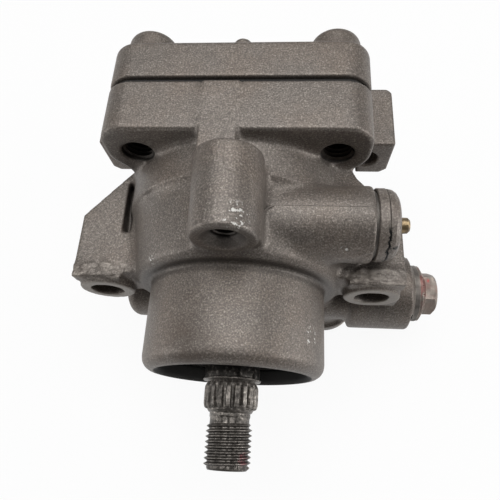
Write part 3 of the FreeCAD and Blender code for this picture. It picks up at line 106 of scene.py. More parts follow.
# Round end of the valve, in millimetres, and the blocks that are cut back to it:
# low corner, high corner and the radius that is left
VALVE_END_R = 13.7
VALVE_COLLAR_R = 10.9
VALVE_START_X = 39.6
VALVE_FACE_X = 61.2
VALVE_BORE_R = 9.7
VALVE_EDGE = 0.7
VALVE_CUT_SPAN = (30.0, 70.0)
VALVE_WASTE = (((53.25, -6, -41), (64, 34, 4.5), VALVE_END_R),
               ((41.95, -6, -41), (54, 34, -22), VALVE_END_R),
               ((41.95, -6, -23), (53.4, 4, -6.4), VALVE_END_R),
               ((VALVE_FACE_X, -6, -41), (64, 34, 4.5), VALVE_COLLAR_R))

# Lip of the pressure port, floors of the slots beside the arms and gate marks on the lugs, in millimetres
PORT_LIP_R = 12.2
PORT_LIP_BORE_R = 9.0
PORT_LIP_HEIGHT = 6.0
PORT_LIP_Z = -35.1
PORT_LIP_EDGE = 0.9
PORT_LIP_CUT = 20.0
SLOT_FLOORS = (((-41.6, 16.5, 1.0), (-30.5, 36.9, 7.6)), ((30.5, 16.5, 1.0), (41.6, 36.9, 7.6)))
GATE_MARKS = (((38.9, 1.5, 8.0), (53.2, 6.5, 13.0)), ((35.9, 1.3, 8.0), (39.5, 4.7, 12.5)),
              ((-53.2, 1.5, 8.0), (-40.5, 5.6, 12.9)), ((-41.0, 1.3, 8.0), (-37.5, 4.0, 12.4)))
GATE_BOTTOM_Z = 10.8
GATE_FRONT_Y = 0.9
GATE_BACK_Y = 7.2
GATE_INNER_X = 35.0
GATE_OUTER_X = 53.6

# Cuts made after casting: how far each reaches from its axis and along it, in millimetres
MOUTH_CUT_R = 26.2
MOUTH_CUT_END = 21.5
CAVITY_CUT_R = 34.5
CAVITY_CUT_START = 20.5
NOSE_CUT_R = 31.0
NOSE_CUT_END = 3.0
SCREW_CUT_R = 6.0
LUG_FACE_CUT_R = 9.7
LUG_FACE_CUT_END = 1.0
LUG_HOLE_CUT_R = 6.4
BOSS_CUT_R = 7.4
BOSS_CUT_END = 22.0
PLUG_CUT_R = 9.4
SWITCH_CUT_R = 7.8
SWITCH_CUT_START = 20.0
PORT_CUT_R = 8.2
SUCTION_CUT_R = 8.4
PORTS_CUT_TOP = -24.0
COVER_CENTRE_CUT_R = 10.0
COVER_FACE_CUT_END = 56.3
COVER_SCREW_CUT_R = 7.2
COVER_EAR_CUT_R = 5.4

# How finely the round pieces are made, and the angles above which an edge stays sharp, in degrees
VALVE_SIDES = 128
PORT_LIP_SIDES = 96
STEPS_PER_TURN = 56
MACHINED_ANGLE = 32
CASTING_ANGLE = 70

# The two axes across a line along X, Y or Z
ALONG_X = (1, 2)
ALONG_Y = (0, 2)
ALONG_Z = (0, 1)

# How a sand mould's corners are filled
FILL_ROUNDS = 60
ROUNDS_PER_NORMAL = 6
LEAST_PULL = 0.0000015
PULL_SHARE = 0.55
TRIANGLES_KEPT = 0.42

# Seams of the mould, in millimetres
BOSS_SEAM = ((0.0, 26.0, 53.6), (0.0, 21.0, 53.52), (0.2, 18.2, 53.46), (0.7, 17.2, 53.4), (2.0, 16.7, 53.2),
             (4.2, 16.4, 52.45), (6.3, 16.0, 51.1), (8.0, 15.0, 48.9), (9.1, 13.4, 46.2), (9.38, 12.4, 44.0),
             (9.4, 12.0, 41.0), (9.6, 13.2, 38.2), (10.8, 15.6, 36.2), (12.4, 16.4, 35.52))
BOSS_SEAM_R = 0.22
SWITCH_SEAM = ((12.0, 16.6, 35.5), (16.0, 16.7, 35.5), (24.0, 16.6, 35.5), (32.0, 16.7, 35.5),
               (40.0, 16.6, 35.5))
SWITCH_SEAM_R = 0.12

# Marks on the metal and the spot of painted shade on the nose: place and radius, in metres
KNOCKS = (((0.0042, 0.0050, 0.0521), 0.0042), ((0.0236, -0.0160, 0.0165), 0.0036),
          ((0.0322, 0.0064, 0.0292), 0.0013), ((-0.0240, 0.0030, 0.0260), 0.0030))
PORT_RUB = ((0.0403, 0.0008, -0.0365), 0.0042)
NOSE_SHADE_SPOT = ((-0.010, -0.0235, 0.0235), 0.013)
SHAFT_RED = ((0.0052, -0.0500, 0.0042), 0.0022)
PLUG_SPOT = ((0.0690, 0.0125, -0.0143), 0.0016)
SWITCH_CHIPS = (((0.0470, 0.0245, 0.0290), 0.0055), ((0.0462, 0.0075, 0.0275), 0.0030))
SWITCH_CRACK_X = 0.0446

# Colours of the marks and of the painted shade
PAINTED_SHADE_BLACK = (0.006, 0.0055, 0.005)
CRACK_BLACK = (0.005, 0.005, 0.005)
CHIP_BLACK = (0.008, 0.008, 0.008)
KNOCK_WHITE = (0.60, 0.59, 0.56)
RUBBED_YELLOW = (0.36, 0.29, 0.19)
FADED_RED = (0.13, 0.02, 0.03)
SPOT_RED = (0.38, 0.03, 0.03)

# Lamps: name, place and size in metres, and the setting of their power
LAMPS = (("key_lamp", (0.0, 0.18, 0.62), (0.7, 0.55), "key_power"),
         ("left_lamp", (-0.60, -0.10, 0.06), (0.25, 0.6), "left_power"),
         ("right_lamp", (0.60, -0.05, 0.08), (0.25, 0.6), "right_power"))
LAMP_TARGET = (0.0, 0.02, 0.0)
FLOOR_GAP = 0.0001
FLOOR_GREY = 0.70
FLOOR_GLOW = 0.93
FRONT_LIGHT_SHARE = 0.25

# Camera of the photo: place and turned axes, in metres, and its lens in millimetres
CAMERA_PLACE = (0.016081, -0.043732, 0.151385)
CAMERA_RIGHT = (0.996673, 0.051512, -0.063141)
CAMERA_UP = (-0.02417365, 0.92687599, 0.37458849)
CAMERA_BACK = (0.07781969, -0.37181639, 0.92503874)
CAMERA_LENS = 33.488
CAMERA_SENSOR = 36.0

# Each spring's body, the joint that shortens it, how far, and where its still end is
SPRINGS = (("valve_spring", "housing", "spool_slide", 10.0, -34.0),
           ("relief_spring", "spool", "relief_slide", 1.0, 16.3),
           ("switch_spring", "housing", "switch_piston_slide", 0.6, 44.6))


# Sizes and colours a user would change
class PumpSurface(bpy.types.PropertyGroup):
    """Colours and grain of the pump's surfaces"""
    casting_colour: FloatVectorProperty(
        name="Casting colour", description="Base colour of the cast housing and cover",
        subtype="COLOR", size=3, min=0, max=1, default=(0.141, 0.122, 0.107))
    worn_colour: FloatVectorProperty(
        name="Worn edge colour", description="Colour where the casting's skin is rubbed off",
        subtype="COLOR", size=3, min=0, max=1, default=(0.37, 0.335, 0.295))
    shaft_colour: FloatVectorProperty(
        name="Shaft colour", description="Colour of the oiled steel of the shaft",
        subtype="COLOR", size=3, min=0, max=1, default=(0.150, 0.136, 0.122))
    paint_colour: FloatVectorProperty(
        name="Paint mark colour", description="Colour of the inspection paint on the plug",
        subtype="COLOR", size=3, min=0, max=1, default=(0.20, 0.022, 0.022))
    grain_size: FloatProperty(
        name="Grain size", description="Size of the casting's grain",
        subtype="DISTANCE", unit="LENGTH", min=0.0001, max=0.005, default=0.00024, precision=5)
    casting_step: FloatProperty(
        name="Casting detail", description="Size of the smallest form kept where the corners are rounded",
        subtype="DISTANCE", unit="LENGTH", min=0.0003, max=0.003, default=0.0005, precision=5)


class PumpStage(bpy.types.PropertyGroup):
    """Floor and light round the pump"""
    floor_size: FloatProperty(
        name="Floor size", description="Width of the pale floor", subtype="DISTANCE", unit="LENGTH",
        min=0.5, max=20, default=6.0)
    key_power: FloatProperty(
        name="Key lamp", description="Power of the soft lamp above the pump", subtype="POWER",
        unit="POWER", min=0, max=100, default=4.9)
    left_power: FloatProperty(
        name="Left lamp", description="Power of the soft lamp left of the pump", subtype="POWER",
        unit="POWER", min=0, max=100, default=1.8)
    right_power: FloatProperty(
        name="Right lamp", description="Power of the soft lamp right of the pump", subtype="POWER",
        unit="POWER", min=0, max=100, default=2.8)
    room_light: FloatProperty(
        name="Room light", description="Strength of the even light of the room", min=0, max=3, default=0.22)


# Material building
def clear_selection():
    if bpy.context.object and bpy.context.object.mode != "OBJECT":
        bpy.ops.object.mode_set(mode="OBJECT")
    bpy.ops.object.select_all(action="DESELECT")


class Finish:
    """A material and the few node patterns that the pump's finishes share."""

    def __init__(self, name, metallic, roughness):
        self.material = bpy.data.materials.new(name)
        self.material.use_nodes = True
        self.nodes = self.material.node_tree.nodes
        self.links = self.material.node_tree.links
        self.nodes.clear()
        self.output = self.nodes.new("ShaderNodeOutputMaterial")
        self.shader = self.nodes.new("ShaderNodeBsdfPrincipled")
        self.shader.inputs["Metallic"].default_value = metallic
        self.shader.inputs["Roughness"].default_value = roughness
        self.links.new(self.shader.outputs[0], self.output.inputs["Surface"])
        self.place = self.nodes.new("ShaderNodeTexCoord").outputs["Object"]

    def noise(self, size, detail=3.0, rough=0.55, stretch=(1, 1, 1), offset=(0, 0, 0)):
        """Cloudy pattern whose spots are about size metres across."""
        mapping = self.nodes.new("ShaderNodeMapping")
        mapping.inputs["Scale"].default_value = stretch
        mapping.inputs["Location"].default_value = offset
        self.links.new(self.place, mapping.inputs["Vector"])
        cloud = self.nodes.new("ShaderNodeTexNoise")
        cloud.inputs["Scale"].default_value = 0.5 / size
        cloud.inputs["Detail"].default_value = detail
        cloud.inputs["Roughness"].default_value = rough
        self.links.new(mapping.outputs[0], cloud.inputs["Vector"])
        return cloud.outputs["Fac"]

    def spread(self, value, low, high, to_low=0.0, to_high=1.0):
        """Value between low and high turned into a number between to_low and to_high."""
        ranged = self.nodes.new("ShaderNodeMapRange")
        ranged.inputs["From Min"].default_value = low
        ranged.inputs["From Max"].default_value = high
        ranged.inputs["To Min"].default_value = to_low
        ranged.inputs["To Max"].default_value = to_high
        self.links.new(value, ranged.inputs["Value"])
        return ranged.outputs["Result"]

    def maths(self, operation, first, second=0.0):
        node = self.nodes.new("ShaderNodeMath")
        node.operation = operation
        for socket, value in zip(node.inputs, (first, second)):
            if isinstance(value, (int, float)):
                socket.default_value = value
            else:
                self.links.new(value, socket)
        return node.outputs[0]

    def times(self, *values):
        """Product of masks and numbers, which is 1 only where every mask is."""
        product = values[0]
        for value in values[1:]:
            product = self.maths("MULTIPLY", product, value)
        return product

    def near(self, centre, radius, soft=0.35):
        """Mask that is 1 within radius of a place, in metres."""
        gap = self.nodes.new("ShaderNodeVectorMath")
        gap.operation = "DISTANCE"
        gap.inputs[1].default_value = centre
        self.links.new(self.place, gap.inputs[0])
        return self.spread(gap.outputs["Value"], radius, radius * (1 - soft))

    def axis(self, name):
        split = self.nodes.new("ShaderNodeSeparateXYZ")
        self.links.new(self.place, split.inputs[0])
        return split.outputs[name]

    def from_line(self, direction, point):
        """Distance from a line along one axis, in metres."""
        flat = self.nodes.new("ShaderNodeVectorMath")
        flat.operation = "MULTIPLY"
        flat.inputs[1].default_value = [0.0 if d else 1.0 for d in direction]
        self.links.new(self.place, flat.inputs[0])
        gap = self.nodes.new("ShaderNodeVectorMath")
        gap.operation = "DISTANCE"
        gap.inputs[1].default_value = point
        self.links.new(flat.outputs[0], gap.inputs[0])
        return gap.outputs["Value"]

    def edge_wear(self, radius, amount):
        """Mask along the rims, where the rounded normal leaves the true one."""
        rounded = self.nodes.new("ShaderNodeBevel")
        rounded.samples = 6
        rounded.inputs["Radius"].default_value = radius
        true_normal = self.nodes.new("ShaderNodeNewGeometry")
        dot = self.nodes.new("ShaderNodeVectorMath")
        dot.operation = "DOT_PRODUCT"
        self.links.new(rounded.outputs[0], dot.inputs[0])
        self.links.new(true_normal.outputs["Normal"], dot.inputs[1])
        return self.spread(dot.outputs["Value"], 0.985, 0.80, 0.0, amount)

    def hollow_shade(self, reach, amount):
        """Mask in the corners and gaps, where little light comes, for painted shade."""
        hidden = self.nodes.new("ShaderNodeAmbientOcclusion")
        hidden.samples = 8
        hidden.inputs["Distance"].default_value = reach
        return self.spread(hidden.outputs["AO"], 0.72, 0.12, 0.0, amount)

    def mix(self, fac, first, second):
        node = self.nodes.new("ShaderNodeMix")
        node.data_type = "RGBA"
        if isinstance(fac, (int, float)):
            node.inputs["Factor"].default_value = fac
        else:
            self.links.new(fac, node.inputs["Factor"])
        for socket, value in ((node.inputs[6], first), (node.inputs[7], second)):
            if isinstance(value, (tuple, list)) or hasattr(value, "hsv"):
                socket.default_value = (value[0], value[1], value[2], 1)
            else:
                self.links.new(value, socket)
        return node.outputs[2]

    def colour(self, value):
        if isinstance(value, (tuple, list)):
            self.shader.inputs["Base Color"].default_value = (value[0], value[1], value[2], 1)
        else:
            self.links.new(value, self.shader.inputs["Base Color"])

    def tone_so_far(self):
        """The pattern that the base colour reads now."""
        return self.shader.inputs["Base Color"].links[0].from_socket

    def metallic(self, value):
        self.links.new(value, self.shader.inputs["Metallic"])

    def roughness(self, value):
        self.links.new(value, self.shader.inputs["Roughness"])

    def bumps(self, *layers):
        """Each layer is (height pattern, height in metres)."""
        normal = None
        for height, distance in layers:
            bump = self.nodes.new("ShaderNodeBump")
            bump.inputs["Strength"].default_value = 1.0
            bump.inputs["Distance"].default_value = distance
            self.links.new(height, bump.inputs["Height"])
            if normal:
                self.links.new(normal, bump.inputs["Normal"])
            normal = bump.outputs[0]
        self.links.new(normal, self.shader.inputs["Normal"])


def shade(colour, factor):
    return tuple(min(1.0, c * factor) for c in colour)


def casting_finish(name, base, worn, grain):
    """Grey-brown cast skin with fine sparkling grain, painted shade in the hollows, and rubbed edges that are
    also a painted highlight along the rims.
    """
    f = Finish(name, 0.45, 0.5)
    clouds = f.noise(0.014, 4.0, 0.6)
    tint = f.noise(0.008, 3.0, 0.5, offset=(0.3, 0.1, 0.7))
    grains = f.noise(grain, 2.0, 0.6)
    coarse = f.noise(grain * 4.5, 3.0, 0.6, offset=(0.2, 0.5, 0.1))
    tone = f.mix(f.spread(clouds, 0.32, 0.68), shade(base, 0.90), shade(base, 1.10))
    warm = (base[0] * 1.10, base[1] * 0.98, base[2] * 0.88)
    tone = f.mix(f.spread(tint, 0.42, 0.70, 0.0, 0.6), tone, warm)
    tone = f.mix(f.spread(coarse, 0.30, 0.70, 0.35, 0.0), tone, shade(base, 0.72))
    tone = f.mix(f.spread(grains, 0.34, 0.50, 0.66, 0.0), tone, shade(base, 0.42))
    tone = f.mix(f.spread(grains, 0.54, 0.74, 0.0, 0.62), tone, worn)
    # Rubbed edges in the worn colour, which also serve as a painted highlight along the rims
    rubbed = f.times(f.edge_wear(0.0007, 0.60), f.spread(f.noise(0.0020, 3.0), 0.40, 0.62, 0.2, 1.0))
    tone = f.mix(rubbed, tone, worn)
    # Painted shade: corners and gaps darkened nearly to black
    tone = f.mix(f.hollow_shade(0.0045, 0.80), tone, shade(base, 0.10))
    f.colour(tone)
    f.roughness(f.spread(coarse, 0.3, 0.7, 0.56, 0.42))
    f.bumps((f.noise(0.0045, 3.0, 0.5), 0.00020), (coarse, 0.00010), (grains, 0.00006))
    return f, tone


def painted_hollow_shade(f, tone, base):
    """Painted shade in the bearing mouth, behind the nose, in the boss's countersink and in the holes of the
    housing, and a painted dark band on the nose.
    """
    along = f.axis("Y")
    around_shaft = f.from_line((0, 1, 0), (0, 0, 0))
    # Painted shade: the bearing mouth is painted nearly black, with its sheen taken away
    mouth = f.times(f.spread(around_shaft, 0.0252, 0.0247), f.spread(along, -0.004, -0.006))
    tone = f.mix(f.times(mouth, 0.96), tone, PAINTED_SHADE_BLACK)
    f.metallic(f.spread(mouth, 0.0, 1.0, 0.45, 0.0))
    f.roughness(f.spread(mouth, 0.0, 1.0, 0.49, 0.85))
    # Painted shade on the shoulder face between the nose and the barrel
    crease_shade = f.times(f.spread(around_shaft, 0.0330, 0.0315), f.spread(around_shaft, 0.0275, 0.0285),
                     f.spread(along, -0.0012, -0.0002), f.spread(along, 0.0042, 0.0024))
    tone = f.mix(f.times(crease_shade, 0.42), tone, shade(base, 0.16))
    # Painted shade in the boss's countersink
    around_boss = f.from_line((0, 1, 0), (BOSS_PLACE[0] * MM, 0, BOSS_PLACE[1] * MM))
    countersink_shade = f.times(f.spread(around_boss, 0.0067, 0.0062), f.spread(along, 0.0020, 0.0026),
                          f.spread(along, 0.0050, 0.0047))
    tone = f.mix(f.times(countersink_shade, 0.55), tone, shade(base, 0.3))
    # Painted shade inside the tapped holes
    fade = 0.3 * MM
    for x, z, radius, front, back in TAPPED_HOLES:
        hole = f.spread(f.from_line((0, 1, 0), (x * MM, 0, z * MM)), radius * MM, (radius - 0.4) * MM)
        depth = f.times(f.spread(along, front * MM - fade, front * MM),
                        f.spread(along, back * MM, back * MM - fade))
        tone = f.mix(f.times(hole, depth, 0.8), tone, shade(base, 0.12))
    # Painted shade: a dark brown band on the left of the nose above its rim
    nose_shade = f.times(f.near(*NOSE_SHADE_SPOT, 0.8), f.spread(f.noise(0.004), 0.3, 0.6))
    return f.mix(f.times(nose_shade, 0.6), tone, (base[0] * 0.42, base[1] * 0.33, base[2] * 0.27))


def bare_metal(f, tone, base, worn):
    """Cut faces of the lugs, yellow metal rubbed off on the port's lip and the broken gate marks."""
    along = f.axis("Y")
    height = f.axis("Z")
    lugs = [f.spread(f.from_line((0, 1, 0), (x * MM, 0, z * MM)), 0.0094, 0.0092) for x, z in EAR_PLACES]
    face = f.times(f.spread(along, 0.00040, 0.00025), f.maths("MAXIMUM", *lugs))
    tone = f.mix(f.times(face, 0.40), tone, shade(worn, 0.85))
    rub = f.times(f.near(*PORT_RUB), f.spread(f.noise(0.0015, 3.0), 0.42, 0.56))
    tone = f.mix(f.times(rub, 0.7), tone, RUBBED_YELLOW)
    broken = f.spread(f.noise(0.0016, 4.0, 0.65, stretch=(0.5, 1, 1), offset=(0.3, 0.9, 0.2)), 0.47, 0.60)
    gate = f.times(f.spread(height, 0.0112, 0.0122), f.spread(height, 0.0148, 0.0145),
                   f.spread(along, 0.0075, 0.0066), f.spread(along, 0.0008, 0.0012),
                   f.spread(f.maths("ABSOLUTE", f.axis("X")), 0.0345, 0.0355))
    tone = f.mix(f.times(gate, f.spread(broken, 0.0, 1.0, 0.16, 0.0)), tone, shade(base, 0.35))
    return f.mix(f.times(gate, broken, 0.42), tone, shade(worn, 1.05))


def white_knocks(f, tone):
    """Chipped knocks on the boss, the nose, the barrel and the boss of the switch."""
    chips = f.spread(f.noise(0.00065, 2.0, 0.6, offset=(0.4, 0.2, 0.9)), 0.585, 0.62)
    for centre, radius in KNOCKS:
        tone = f.mix(f.times(f.near(centre, radius), chips, 0.8), tone, KNOCK_WHITE)
    return tone


def housing_finish(base, worn, grain):
    """The casting's skin with the marks that only the housing has."""
    f, tone = casting_finish("cast_housing_skin", base, worn, grain)
    tone = painted_hollow_shade(f, tone, base)
    tone = bare_metal(f, tone, base, worn)
    f.colour(white_knocks(f, tone))
    return f.material


def cover_finish(base, worn, grain):
    """The casting's plain skin."""
    f, tone = casting_finish("cast_cover_skin", base, worn, grain)
    f.colour(tone)
    return f.material


def steel_finish(name, base, roughness, streak, along=1, dark=0.35, speck=0.5):
    """Turned steel: fine rings round the axis, dark oily stains, and bright rubbed rims that are also a
    painted highlight.
    """
    f = Finish(name, 0.7, roughness)
    stretch = [1.0, 1.0, 1.0]
    stretch[along] = streak
    rings = f.noise(0.0016, 4.0, 0.7, stretch=tuple(stretch))
    stains = f.noise(0.0028, 4.0, 0.65, offset=(0.6, 0.3, 0.2))
    tone = f.mix(f.spread(rings, 0.35, 0.65), shade(base, 0.75), shade(base, 1.35))
    tone = f.mix(f.spread(stains, 0.50, 0.66, 0.0, speck), tone, shade(base, dark))
    # Rubbed rims that are also a painted highlight
    rim_wear_and_highlight = f.times(f.edge_wear(0.00035, 0.9), f.spread(f.noise(0.0012, 2.0), 0.38, 0.58, 0.1, 1.0))
    tone = f.mix(rim_wear_and_highlight, tone, shade(base, 3.4))
    f.colour(tone)
    f.roughness(f.spread(stains, 0.35, 0.65, roughness - 0.08, roughness + 0.16))
    f.bumps((rings, 0.00004), (stains, 0.00006))
    return f


def shaft_finish(base):
    """Oiled steel with painted shade, black in the grooves and dark on the collar inside the nose, and a
    trace of red by the tip.
    """
    f = steel_finish("oiled_shaft_steel", base, 0.40, 6.0, dark=0.3, speck=0.7)
    tone = f.tone_so_far()
    specks = f.noise(0.00045, 3.0, 0.65, offset=(0.7, 0.2, 0.4))
    tone = f.mix(f.spread(specks, 0.36, 0.50, 0.65, 0.0), tone, shade(base, 0.25))
    tone = f.mix(f.spread(specks, 0.58, 0.72, 0.0, 0.8), tone, shade(base, 3.4))
    # Painted shade on the speckled collar inside the nose's mouth
    inside = f.spread(f.axis("Y"), -0.0276, -0.0270)
    tone = f.mix(f.times(inside, f.spread(specks, 0.60, 0.50, 0.25, 0.85)), tone, shade(base, 0.22))
    tone = f.mix(f.spread(f.axis("Y"), -0.0392, -0.0402, 0.0, 0.42), tone, shade(base, 0.2))
    # Painted shade, nearly black, in the grooves of the splines and the thread
    tone = f.mix(f.hollow_shade(0.0013, 0.97), tone, PAINTED_SHADE_BLACK)
    red = f.times(f.near(*SHAFT_RED), f.spread(specks, 0.44, 0.52))
    tone = f.mix(f.times(red, 0.6), tone, FADED_RED)
    f.colour(tone)
    return f.material


def plug_finish(base, paint):
    """Brown-grey plug with painted shade in its teeth and old red paint on its upper side."""
    f = steel_finish("phosphated_plug", (base[0] * 1.40, base[1] * 1.34, base[2] * 1.30), 0.46, 3.0, along=0)
    tone = f.tone_so_far()
    blotches = f.noise(0.0024, 4.0, 0.6, offset=(0.1, 0.8, 0.3))
    rusty = (base[0] * 1.30, base[1] * 1.08, base[2] * 1.02)
    tone = f.mix(f.spread(blotches, 0.40, 0.60, 0.0, 0.7), tone, rusty)
    # Painted shade in the teeth and corners of the plug
    tone = f.mix(f.hollow_shade(0.0016, 0.9), tone, shade(base, 0.15))
    upper = f.spread(f.axis("Z"), -0.0158, -0.0132)
    mask = f.times(f.spread(blotches, 0.40, 0.50), upper)
    tone = f.mix(f.times(mask, 0.45), tone, paint)
    spot = f.times(f.near(*PLUG_SPOT), f.spread(blotches, 0.44, 0.54))
    f.colour(f.mix(f.times(spot, 0.7), tone, SPOT_RED))
    return f.material


def switch_finish(base, worn, grain):
    """Dull grainy can with a black ragged crack where its two bands meet."""
    f, tone = casting_finish("plated_switch_body", shade(base, 1.15), worn, grain)
    ragged = f.maths("ADD", f.axis("X"), f.spread(f.noise(0.0014, 3.0, 0.6), 0.3, 0.7, -0.0007, 0.0007))
    crack = f.spread(f.maths("ABSOLUTE", f.maths("SUBTRACT", ragged, SWITCH_CRACK_X)), 0.00040, 0.00025)
    low = f.spread(f.axis("Y"), 0.0120, 0.0105)
    tone = f.mix(f.times(crack, f.maths("MAXIMUM", low, 0.25)), tone, CRACK_BLACK)
    chips = f.spread(f.noise(0.0018, 4.0, 0.7, offset=(0.2, 0.6, 0.1)), 0.56, 0.60)
    corners = f.maths("MAXIMUM", *[f.near(*chip) for chip in SWITCH_CHIPS])
    tone = f.mix(f.times(chips, corners, 0.95), tone, CHIP_BLACK)
    f.colour(tone)
    return f.material


def brass_finish():
    """Stained brass with drawn rings."""
    f = Finish("brass_terminal", 0.8, 0.42)
    stains = f.noise(0.0014, 4.0, 0.65)
    rings = f.noise(0.0007, 3.0, 0.6, stretch=(5, 1, 1))
    tone = f.mix(f.spread(stains, 0.35, 0.66), (0.30, 0.22, 0.12), (0.13, 0.10, 0.07))
    tone = f.mix(f.spread(rings, 0.55, 0.75, 0.0, 0.5), tone, (0.42, 0.34, 0.21))
    tone = f.mix(f.edge_wear(0.0003, 0.7), tone, (0.60, 0.50, 0.33))
    f.colour(tone)
    f.roughness(f.spread(stains, 0.3, 0.7, 0.28, 0.5))
    f.bumps((rings, 0.00003), (stains, 0.00005))
    return f.material


def rubber_finish():
    """Black rubber with dust on it."""
    f = Finish("seal_rubber", 0.0, 0.55)
    grain = f.noise(0.0006, 3.0, 0.6)
    dust = f.noise(0.0035, 4.0, 0.6)
    tone = f.mix(f.spread(grain, 0.3, 0.7), (0.010, 0.010, 0.010), (0.022, 0.021, 0.020))
    tone = f.mix(f.spread(dust, 0.55, 0.75, 0.0, 0.4), tone, (0.075, 0.068, 0.060))
    f.colour(tone)
    f.roughness(f.spread(dust, 0.3, 0.7, 0.42, 0.7))
    f.bumps((grain, 0.00004), (dust, 0.00008))
    return f.material


def plastic_finish():
    """Brown moulded plastic, worn pale at its rims."""
    f = Finish("moulded_insulator", 0.0, 0.5)
    grain = f.noise(0.0005, 3.0, 0.6)
    dust = f.noise(0.0022, 4.0, 0.6)
    tone = f.mix(f.spread(dust, 0.4, 0.7), (0.060, 0.054, 0.048), (0.12, 0.108, 0.095))
    tone = f.mix(f.edge_wear(0.0003, 0.5), tone, (0.2, 0.18, 0.16))
    f.colour(tone)
    f.roughness(f.spread(grain, 0.3, 0.7, 0.42, 0.62))
    f.bumps((grain, 0.00003), (dust, 0.00005))
    return f.material


def gasket_finish():
    """Black pressed fibre."""
    f = Finish("pressed_fibre_gasket", 0.0, 0.85)
    fibre = f.noise(0.0007, 4.0, 0.75, stretch=(1, 3, 1))
    tone = f.mix(f.spread(fibre, 0.35, 0.65), (0.010, 0.0095, 0.009), (0.030, 0.028, 0.026))
    f.colour(tone)
    f.roughness(f.spread(fibre, 0.3, 0.7, 0.75, 0.95))
    f.bumps((fibre, 0.00006), (f.noise(0.003), 0.00005))
    return f.material


# Mesh helpers
def all_selected(piece):
    clear_selection()
    piece.select_set(True)
    bpy.context.view_layer.objects.active = piece


def copy_of(node, name):
    """A welded copy of a solid's mesh, to be finished as a piece of its own."""
    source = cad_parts[node]
    piece = source.copy()
    piece.data = source.data.copy()
    piece.name = name
    piece.data.name = name
    piece.parent = None
    for key in list(piece.keys()):
        del piece[key]
    bpy.context.scene.collection.objects.link(piece)
    piece.matrix_world = Matrix.Identity(4)
    all_selected(piece)
    bpy.ops.object.mode_set(mode="EDIT")
    bpy.ops.mesh.select_all(action="SELECT")
    bpy.ops.mesh.remove_doubles(threshold=0.000002)
    bpy.ops.object.mode_set(mode="OBJECT")
    return piece


def apply_modifier(piece, kind, name, **settings):
    all_selected(piece)
    modifier = piece.modifiers.new(name, kind)
    for key, value in settings.items():
        setattr(modifier, key, value)
    bpy.ops.object.modifier_apply(modifier=modifier.name)


def smooth(piece, degrees):
    """Shades a piece smooth, apart from edges sharper than the angle."""
    all_selected(piece)
    bpy.ops.object.shade_smooth_by_angle(angle=math.radians(degrees))


def wear(piece, material):
    """Gives a new piece its one material."""
    piece.data.materials.clear()
    piece.data.materials.append(material)


def place_at_origin(piece):
    all_selected(piece)
    bpy.ops.object.transform_apply(location=True, rotation=True, scale=True)


def dress(nodes, material):
    """Gives solids that show as they are their material."""
    for node in nodes:
        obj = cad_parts[node]
        obj.data.materials.clear()
        obj.data.materials.append(material)


def from_axis(points, place, axes):
    """Distance of every point from a line through place, in millimetres."""
    return np.hypot(points[:, axes[0]] / MM - place[0], points[:, axes[1]] / MM - place[1])


def housing_machined(points):
    """The housing's bores and faces that are cut sharp after casting."""
    x, y, z = points.T / MM
    around_shaft = np.hypot(x, z)
    cut = (around_shaft < MOUTH_CUT_R) & (y < MOUTH_CUT_END)
    cut |= (around_shaft < CAVITY_CUT_R) & (y > CAVITY_CUT_START)
    cut |= (around_shaft < NOSE_CUT_R) & (y < NOSE_CUT_END)
    for place in SCREW_PLACES:
        cut |= from_axis(points, place, ALONG_Y) < SCREW_CUT_R
    for place in EAR_PLACES:
        around_hole = from_axis(points, place, ALONG_Y)
        cut |= (around_hole < LUG_FACE_CUT_R) & (y < LUG_FACE_CUT_END)
        cut |= around_hole < LUG_HOLE_CUT_R
    cut |= (from_axis(points, BOSS_PLACE, ALONG_Y) < BOSS_CUT_R) & (y < BOSS_CUT_END)
    cut |= from_axis(points, PLUG_PLACE, ALONG_X) < PLUG_CUT_R
    cut |= (from_axis(points, SWITCH_PLACE, ALONG_X) < SWITCH_CUT_R) & (x > SWITCH_CUT_START)
    cut |= (from_axis(points, PORT_PLACE, ALONG_Z) < PORT_CUT_R) & (z < PORTS_CUT_TOP)
    cut |= (from_axis(points, SUCTION_PLACE, ALONG_Z) < SUCTION_CUT_R) & (z < PORTS_CUT_TOP)
    return cut


def cover_machined(points):
    """The cover's bores and its joint face."""
    x, y, z = points.T / MM
    cut = (np.hypot(x, z) < COVER_CENTRE_CUT_R) | (y < COVER_FACE_CUT_END)
    for place in SCREW_PLACES:
        cut |= from_axis(points, place, ALONG_Y) < COVER_SCREW_CUT_R
    for place in EAR_PLACES:
        cut |= from_axis(points, place, ALONG_Y) < COVER_EAR_CUT_R
    return cut


def block(low, high):
    """Closed block between two corners, in millimetres."""
    clear_selection()
    middle = [(a + b) / 2 * MM for a, b in zip(low, high)]
    bpy.ops.mesh.primitive_cube_add(size=MM, location=middle, scale=[b - a for a, b in zip(low, high)])
    place_at_origin(bpy.context.object)
    return bpy.context.object


def rod(radius, middle, length, sides, along_x=False):
    """Closed rod along Z, or along X, round its middle, in millimetres."""
    clear_selection()
    turn = (0, math.radians(90), 0) if along_x else (0, 0, 0)
    bpy.ops.mesh.primitive_cylinder_add(vertices=sides, radius=radius * MM, depth=length * MM,
                                        location=[place * MM for place in middle], rotation=turn)
    place_at_origin(bpy.context.object)
    return bpy.context.object


def valve_rod(radius, left, right):
    """Closed rod along the valve's axis, in millimetres."""
    return rod(radius, ((left + right) / 2, *PLUG_PLACE), right - left, VALVE_SIDES, along_x=True)


def cut_away(piece, cutter):
    """Takes the cutter out of the piece and deletes the cutter."""
    apply_modifier(piece, "BOOLEAN", "cut", operation="DIFFERENCE", solver="EXACT", object=cutter)
    bpy.data.objects.remove(cutter)


def round_edges(piece, width):
    """Rounds the sharp edges of a piece, with the width in millimetres."""
    apply_modifier(piece, "BEVEL", "round", width=width * MM, segments=3, limit_method="ANGLE",
                   angle_limit=math.radians(60))


